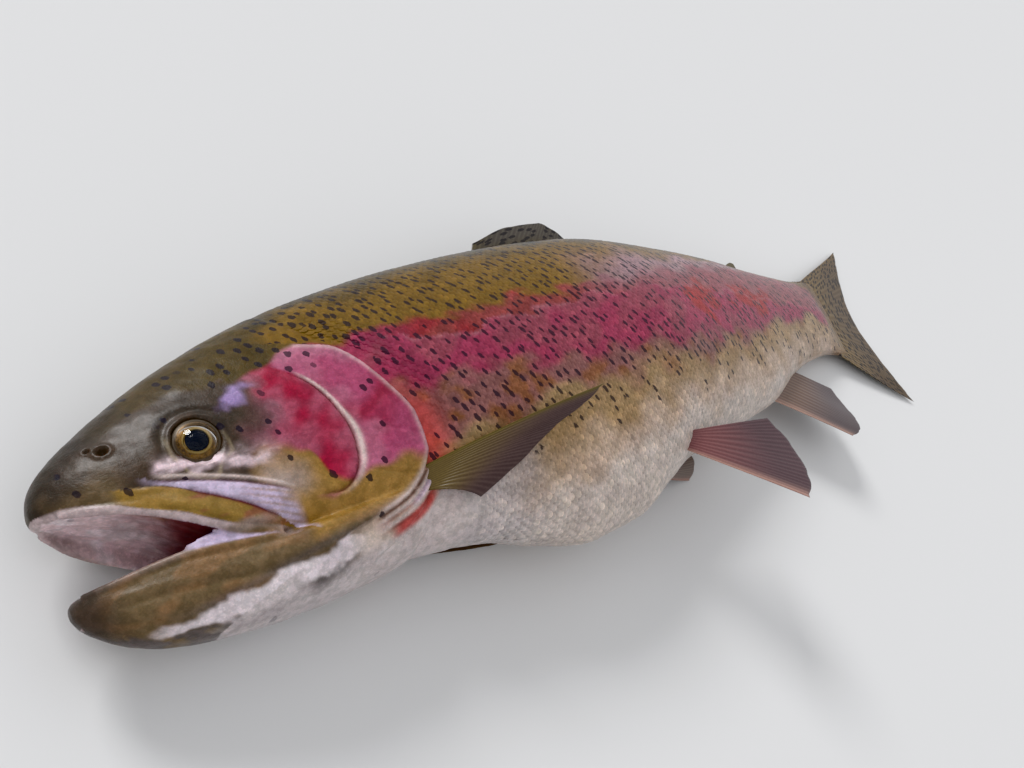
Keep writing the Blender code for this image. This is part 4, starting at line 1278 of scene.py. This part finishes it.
class Field:
    """A number that varies over a surface, with ordinary arithmetic."""

    def __init__(self, finish, socket):
        self.finish, self.socket = finish, socket

    def math(self, operation, *others):
        inputs = {0: self, **dict(enumerate(others, 1))}
        return Field(self.finish, self.finish.node("Math", {"operation": operation}, inputs)[0])

    def __add__(self, other):
        return self.math("ADD", other)

    def __sub__(self, other):
        return self.math("SUBTRACT", other)

    def __rsub__(self, other):
        return self.math("MULTIPLY", -1.0).math("ADD", other)

    def __mul__(self, other):
        return self.math("MULTIPLY", other)

    def __truediv__(self, other):
        return self.math("DIVIDE", other)

    def __pow__(self, other):
        return self.math("POWER", other)

    __radd__, __rmul__ = __add__, __mul__

    def clamp(self):
        return self.math("MAXIMUM", 0.0).math("MINIMUM", 1.0)

    def ramp(self, low, high):
        """0 at low and 1 at high, smooth between them."""
        if low > high:
            return 1 - self.ramp(high, low)
        inputs = {"Value": self, "From Min": low, "From Max": high}
        return Field(self.finish, self.finish.node("MapRange", {"interpolation_type": "SMOOTHSTEP"}, inputs)[0])


class Finish:
    """A material's nodes, made one at a time."""

    def __init__(self, name, **constants):
        self.material = bpy.data.materials.new(name)
        self.material.use_nodes = True
        self.tree = self.material.node_tree
        self.shader = self.tree.nodes["Principled BSDF"]
        self.done(**constants)

    def done(self, **sockets):
        for key, value in sockets.items():
            connect(self.tree, self.shader.inputs[key.replace("_", " ")], value)
        return self.material

    def node(self, kind, settings=None, inputs=None):
        return add_node(self.tree, "ShaderNode" + kind, settings, inputs)

    def attribute(self, name, output="Vector"):
        return self.node("Attribute", {"attribute_name": name})[output]

    def value(self, name):
        return Field(self, self.attribute(name, "Fac"))

    def parts(self, vector):
        return [Field(self, out) for out in self.node("SeparateXYZ", inputs={0: vector})]

    def vector(self, x, y, z=0.0):
        return self.node("CombineXYZ", inputs={0: x, 1: y, 2: z})[0]

    def noise(self, vector, scale, detail=3.0, roughness=0.5):
        inputs = {"Vector": vector, "Scale": scale, "Detail": detail, "Roughness": roughness}
        return Field(self, self.node("TexNoise", inputs=inputs)[0])

    def cells(self, x, y):
        """Scattered cells on a plane, about one apart."""
        return self.node("TexVoronoi", {"feature": "F1", "voronoi_dimensions": "2D"},
                         {"Vector": self.vector(x, y), "Scale": 1.0, "Randomness": 0.8})

    def mix(self, amount, first, second, blend="MIX"):
        settings = {"data_type": "RGBA", "blend_type": blend}
        return self.node("Mix", settings, {0: amount, 6: first, 7: second})[2]

    def tint(self, colour, *by):
        return self.mix(1.0, colour, by, "MULTIPLY")

    def shade(self, colour, amount, *by):
        """The colour, turned by an amount into itself times a tint."""
        return self.mix(amount, colour, self.tint(colour, *by))

    def bump(self, height, distance, strength):
        return self.node("Bump", inputs={"Height": height, "Distance": distance, "Strength": strength})[0]


INK = (0.007, 0.005, 0.013)
FIN_SPOT = (0.012, 0.009, 0.010)
IRIS_BROWN = (0.060, 0.034, 0.014)
IRIS_GOLD = (0.25, 0.14, 0.045)
PUPIL_RING = (0.40, 0.28, 0.11)
IRIS_EDGE = (0.13, 0.11, 0.09)
PUPIL_BLACK = (0.005, 0.007, 0.014)
LEAN_ALONG, LEAN_DOWN = 0.40, 0.92  # slope of the dashes: cosine and sine
ACROSS_RAYS, ALONG_RAYS = 1.3, 6.5  # spacing of the spots on the fins, in rays and in millimetres
JOINT_PITCH = 2.2  # of the joints in the rays


def dashes(finish, lie, spotty, spacing=7.0, long=2.6, short=1.15):
    """Dark dashes that lean back as they run down the flank. Their number follows the spotting of the skin."""
    x, arc, side = finish.parts(lie)
    wander = finish.noise(lie, 0.5, 2.0)
    down = (x * LEAN_ALONG - arc * LEAN_DOWN) / spacing
    ahead = (x * LEAN_DOWN + arc * LEAN_ALONG + side) / spacing
    cells = finish.cells(down, ahead)
    chance, extent, _ = finish.parts(cells["Color"])
    centre_down, centre_ahead, _ = finish.parts(cells["Position"])
    on_head = x.ramp(200, 165)
    off_down = (down - centre_down) * (spacing / long)
    off_ahead = (ahead - centre_ahead) * (spacing / short) * (1.0 - 0.35 * on_head)
    size = (1.0 - 0.15 * on_head) * (0.75 + 0.5 * extent)
    reach = (off_down * off_down + off_ahead * off_ahead) ** 0.5 / size
    return (reach + (wander - 0.5) * 0.9).ramp(1.12, 0.88) * (spotty - chance).ramp(-0.02, 0.02)


def skin_finish(name, on_scales):
    finish = Finish(name, Coat_Roughness=0.14 if on_scales else 0.22, Coat_IOR=1.34, IOR=1.36, Subsurface_Weight=0.12,
                    Subsurface_Scale=0.004, Subsurface_Radius=(1.0, 0.35, 0.25))
    at, lie, paint = finish.attribute("fish_at"), finish.attribute("lie_at"), finish.attribute("paint", "Color")
    broad, mottle = finish.noise(at, 0.06, 4.0), finish.noise(at, 0.22, 4.0, 0.6)
    grain = finish.noise(at, 0.9, 4.0, 0.6)
    colour = finish.mix(broad.ramp(0.3, 0.7) * 0.5, finish.tint(paint, 0.72, 0.70, 0.72), paint)
    colour = finish.shade(colour, mottle.ramp(0.62, 0.40) * 0.5, 0.55, 0.58, 0.55)
    colour = finish.shade(colour, grain.ramp(0.45, 0.75) * 0.5, 1.5, 1.45, 1.35)
    ink = finish.mix(0.10, INK, paint)
    if on_scales:
        own, coat = finish.value("own"), finish.value("coat")
        u = finish.parts(finish.attribute("scale_at"))[0]
        colour = finish.shade(colour, own * coat * 0.35, 0.66, 0.66, 0.68)
        # Painted glints: a few scales at random are lighter.
        colour = finish.shade(colour, own.ramp(0.16, 0.02) * 0.35, 1.5, 1.45, 1.35)
        # Painted highlight along each scale's free rim, and painted shade towards its root, which lies under the scale
        # ahead.
        colour = finish.shade(colour, u.ramp(1.0, 1.3) * coat * 0.4, 1.6, 1.5, 1.4)
        colour = finish.shade(colour, u.ramp(0.80, 0.35) * coat * 0.4, 0.55, 0.52, 0.52)
    colour = finish.mix(dashes(finish, lie, finish.value("spotty")) * 0.96, colour, ink)
    normal = finish.bump(mottle * 1.2 + grain * 0.5 + finish.noise(at, 2.4, 2.0) * 0.25, 0.0006, 0.5)
    rough = 0.42 + 0.2 * (grain - 0.5) + 0.1 * (broad - 0.5)
    wet = 0.42 - 0.18 * finish.parts(at)[0].ramp(200, 160) + 0.5 * (mottle - 0.5)
    return finish.done(Base_Color=colour, Roughness=rough.clamp(), Metallic=finish.value("silver") * 0.45,
                       Coat_Weight=wet.clamp(), Normal=normal)


def fin_finish():
    finish = Finish("fin", Coat_Roughness=0.25, Coat_Weight=0.3, IOR=1.4)
    paint, ray, spotty = finish.attribute("paint", "Color"), finish.value("ray"), finish.value("spotty")
    over, out, t = finish.parts(finish.attribute("fin_at"))
    grain = finish.noise(finish.attribute("fish_at"), 0.8, 3.0)
    colour = finish.mix((ray * 0.7 + (grain - 0.5) * 0.8 + 0.25).clamp(), finish.tint(paint, 0.55, 0.50, 0.52), paint)
    nearest = Field(finish, finish.cells(out / ALONG_RAYS, over / ACROSS_RAYS)["Distance"])
    dots = (nearest + (grain - 0.5) * 0.3).ramp(0.34, 0.24) * spotty
    colour = finish.mix(dots * 0.9, colour, FIN_SPOT)
    joints = (out * (2 * math.pi / JOINT_PITCH)).math("SINE") * 0.5 + 0.5
    normal = finish.bump(joints * ray * t.ramp(0.15, 0.5) * 0.3 + grain * 0.4, 0.0003, 0.4)
    return finish.done(Base_Color=colour, Roughness=0.44 + 0.15 * (grain - 0.5), Normal=normal)


def iris_finish():
    finish = Finish("iris", IOR=1.15)
    radius, turn, high = finish.parts(finish.attribute("eye_at"))
    grit = finish.noise(finish.vector(turn * 2.5, radius * 0.5, high), 1.6, 4.0, 0.65)
    colour = finish.mix(grit.ramp(0.35, 0.68), IRIS_BROWN, IRIS_GOLD)
    colour = finish.mix((radius + (grit - 0.5) * 0.8).ramp(PUPIL + 1.9, PUPIL + 0.9), colour, PUPIL_RING)
    colour = finish.mix((radius + (grit - 0.5)).ramp(8.8, 10.6), colour, IRIS_EDGE)
    colour = finish.mix(radius.ramp(PUPIL + 0.25, PUPIL - 0.15), colour, PUPIL_BLACK)
    return finish.done(Base_Color=colour, Roughness=0.35 - 0.25 * radius.ramp(PUPIL + 0.2, PUPIL - 0.2),
                       Metallic=0.35 * radius.ramp(PUPIL, PUPIL + 0.4))


def cornea_finish():
    finish = Finish("cornea")
    clear, gloss = finish.node("BsdfTransparent")[0], finish.node("BsdfGlossy", inputs={"Roughness": 0.03})[0]
    fresnel = finish.node("Fresnel", inputs={"IOR": 1.30})[0]
    wet = finish.node("MixShader", inputs={0: fresnel, 1: clear, 2: gloss})[0]
    connect(finish.tree, finish.tree.nodes["Material Output"].inputs["Surface"], wet)
    finish.tree.nodes.remove(finish.shader)
    return finish.material


# ---------------------------------------------------------------- studio

CAMERA_FROM_SNOUT = (-0.1547, -0.1843, 0.5303)
CAMERA_RIGHT = (0.7196, -0.4838, 0.4981)
CAMERA_FORWARD = (0.6600, 0.2534, -0.7073)
LENS = 37.92
FLOOR_REACH = 60.0
FLOOR_GREY = (0.66, 0.66, 0.66)
SKY, SKY_STRENGTH = (0.96, 0.97, 1.0, 1), 0.62
LIGHTS = (  # name, direction towards it, spread in degrees, strength
    ("key", (-0.30, 1.40, 0.95), 20.0, 2.0),
    ("fill", (-1.0, -1.0, 0.70), 130.0, 0.85),
    ("rear", (1.3, 0.3, 0.9), 90.0, 0.45),
)


def studio():
    scene = bpy.context.scene
    data = bpy.data.cameras.new("camera")
    data.lens, data.sensor_width = LENS, 36.0
    data.clip_start, data.clip_end = 0.01, 20.0
    ahead = Vector(CAMERA_FORWARD).normalized()
    up = Vector(CAMERA_RIGHT).normalized().cross(ahead).normalized()
    turn = Matrix((ahead.cross(up), up, -ahead)).transposed().to_4x4()
    scene.camera = add_object("camera", data)
    scene.camera.matrix_world = Matrix.Translation(Vector(SNOUT) + Vector(CAMERA_FROM_SNOUT)) @ turn
    scene.view_settings.view_transform = "Khronos PBR Neutral"

    corners = [(x * FLOOR_REACH, y * FLOOR_REACH, 0) for x, y in ((-1, -1), (1, -1), (1, 1), (-1, 1))]
    floor = make_object("floor", corners, [(0, 1, 2, 3)])
    floor.data.materials.append(Finish("floor", Base_Color=FLOOR_GREY, Roughness=0.75).material)

    for name, toward, spread_angle, strength in LIGHTS:
        light = bpy.data.lights.new(name, "SUN")
        light.angle, light.energy = math.radians(spread_angle), strength
        lamp = add_object(name, light)
        lamp.rotation_mode = "QUATERNION"
        lamp.rotation_quaternion = (-Vector(toward)).to_track_quat("-Z", "Y")
    scene.world = bpy.data.worlds.new("studio")
    scene.world.use_nodes = True
    background = scene.world.node_tree.nodes["Background"].inputs
    background["Color"].default_value, background["Strength"].default_value = SKY, SKY_STRENGTH


def main():
    skin_piece(skin_finish("skin", False))
    scales, plate = skin_finish("scales", True), scale_plate()
    for side, word in SIDES:
        scale_coat(side, word, scales, plate)
    remove(plate)
    fins = fin_finish()
    for name, shape in FINS.items():
        fin_piece(name, fins, *shape)
    iris, cornea = iris_finish(), cornea_finish()
    for side, word in SIDES:
        eye_pieces(side, word, iris, cornea)
    studio()


main()
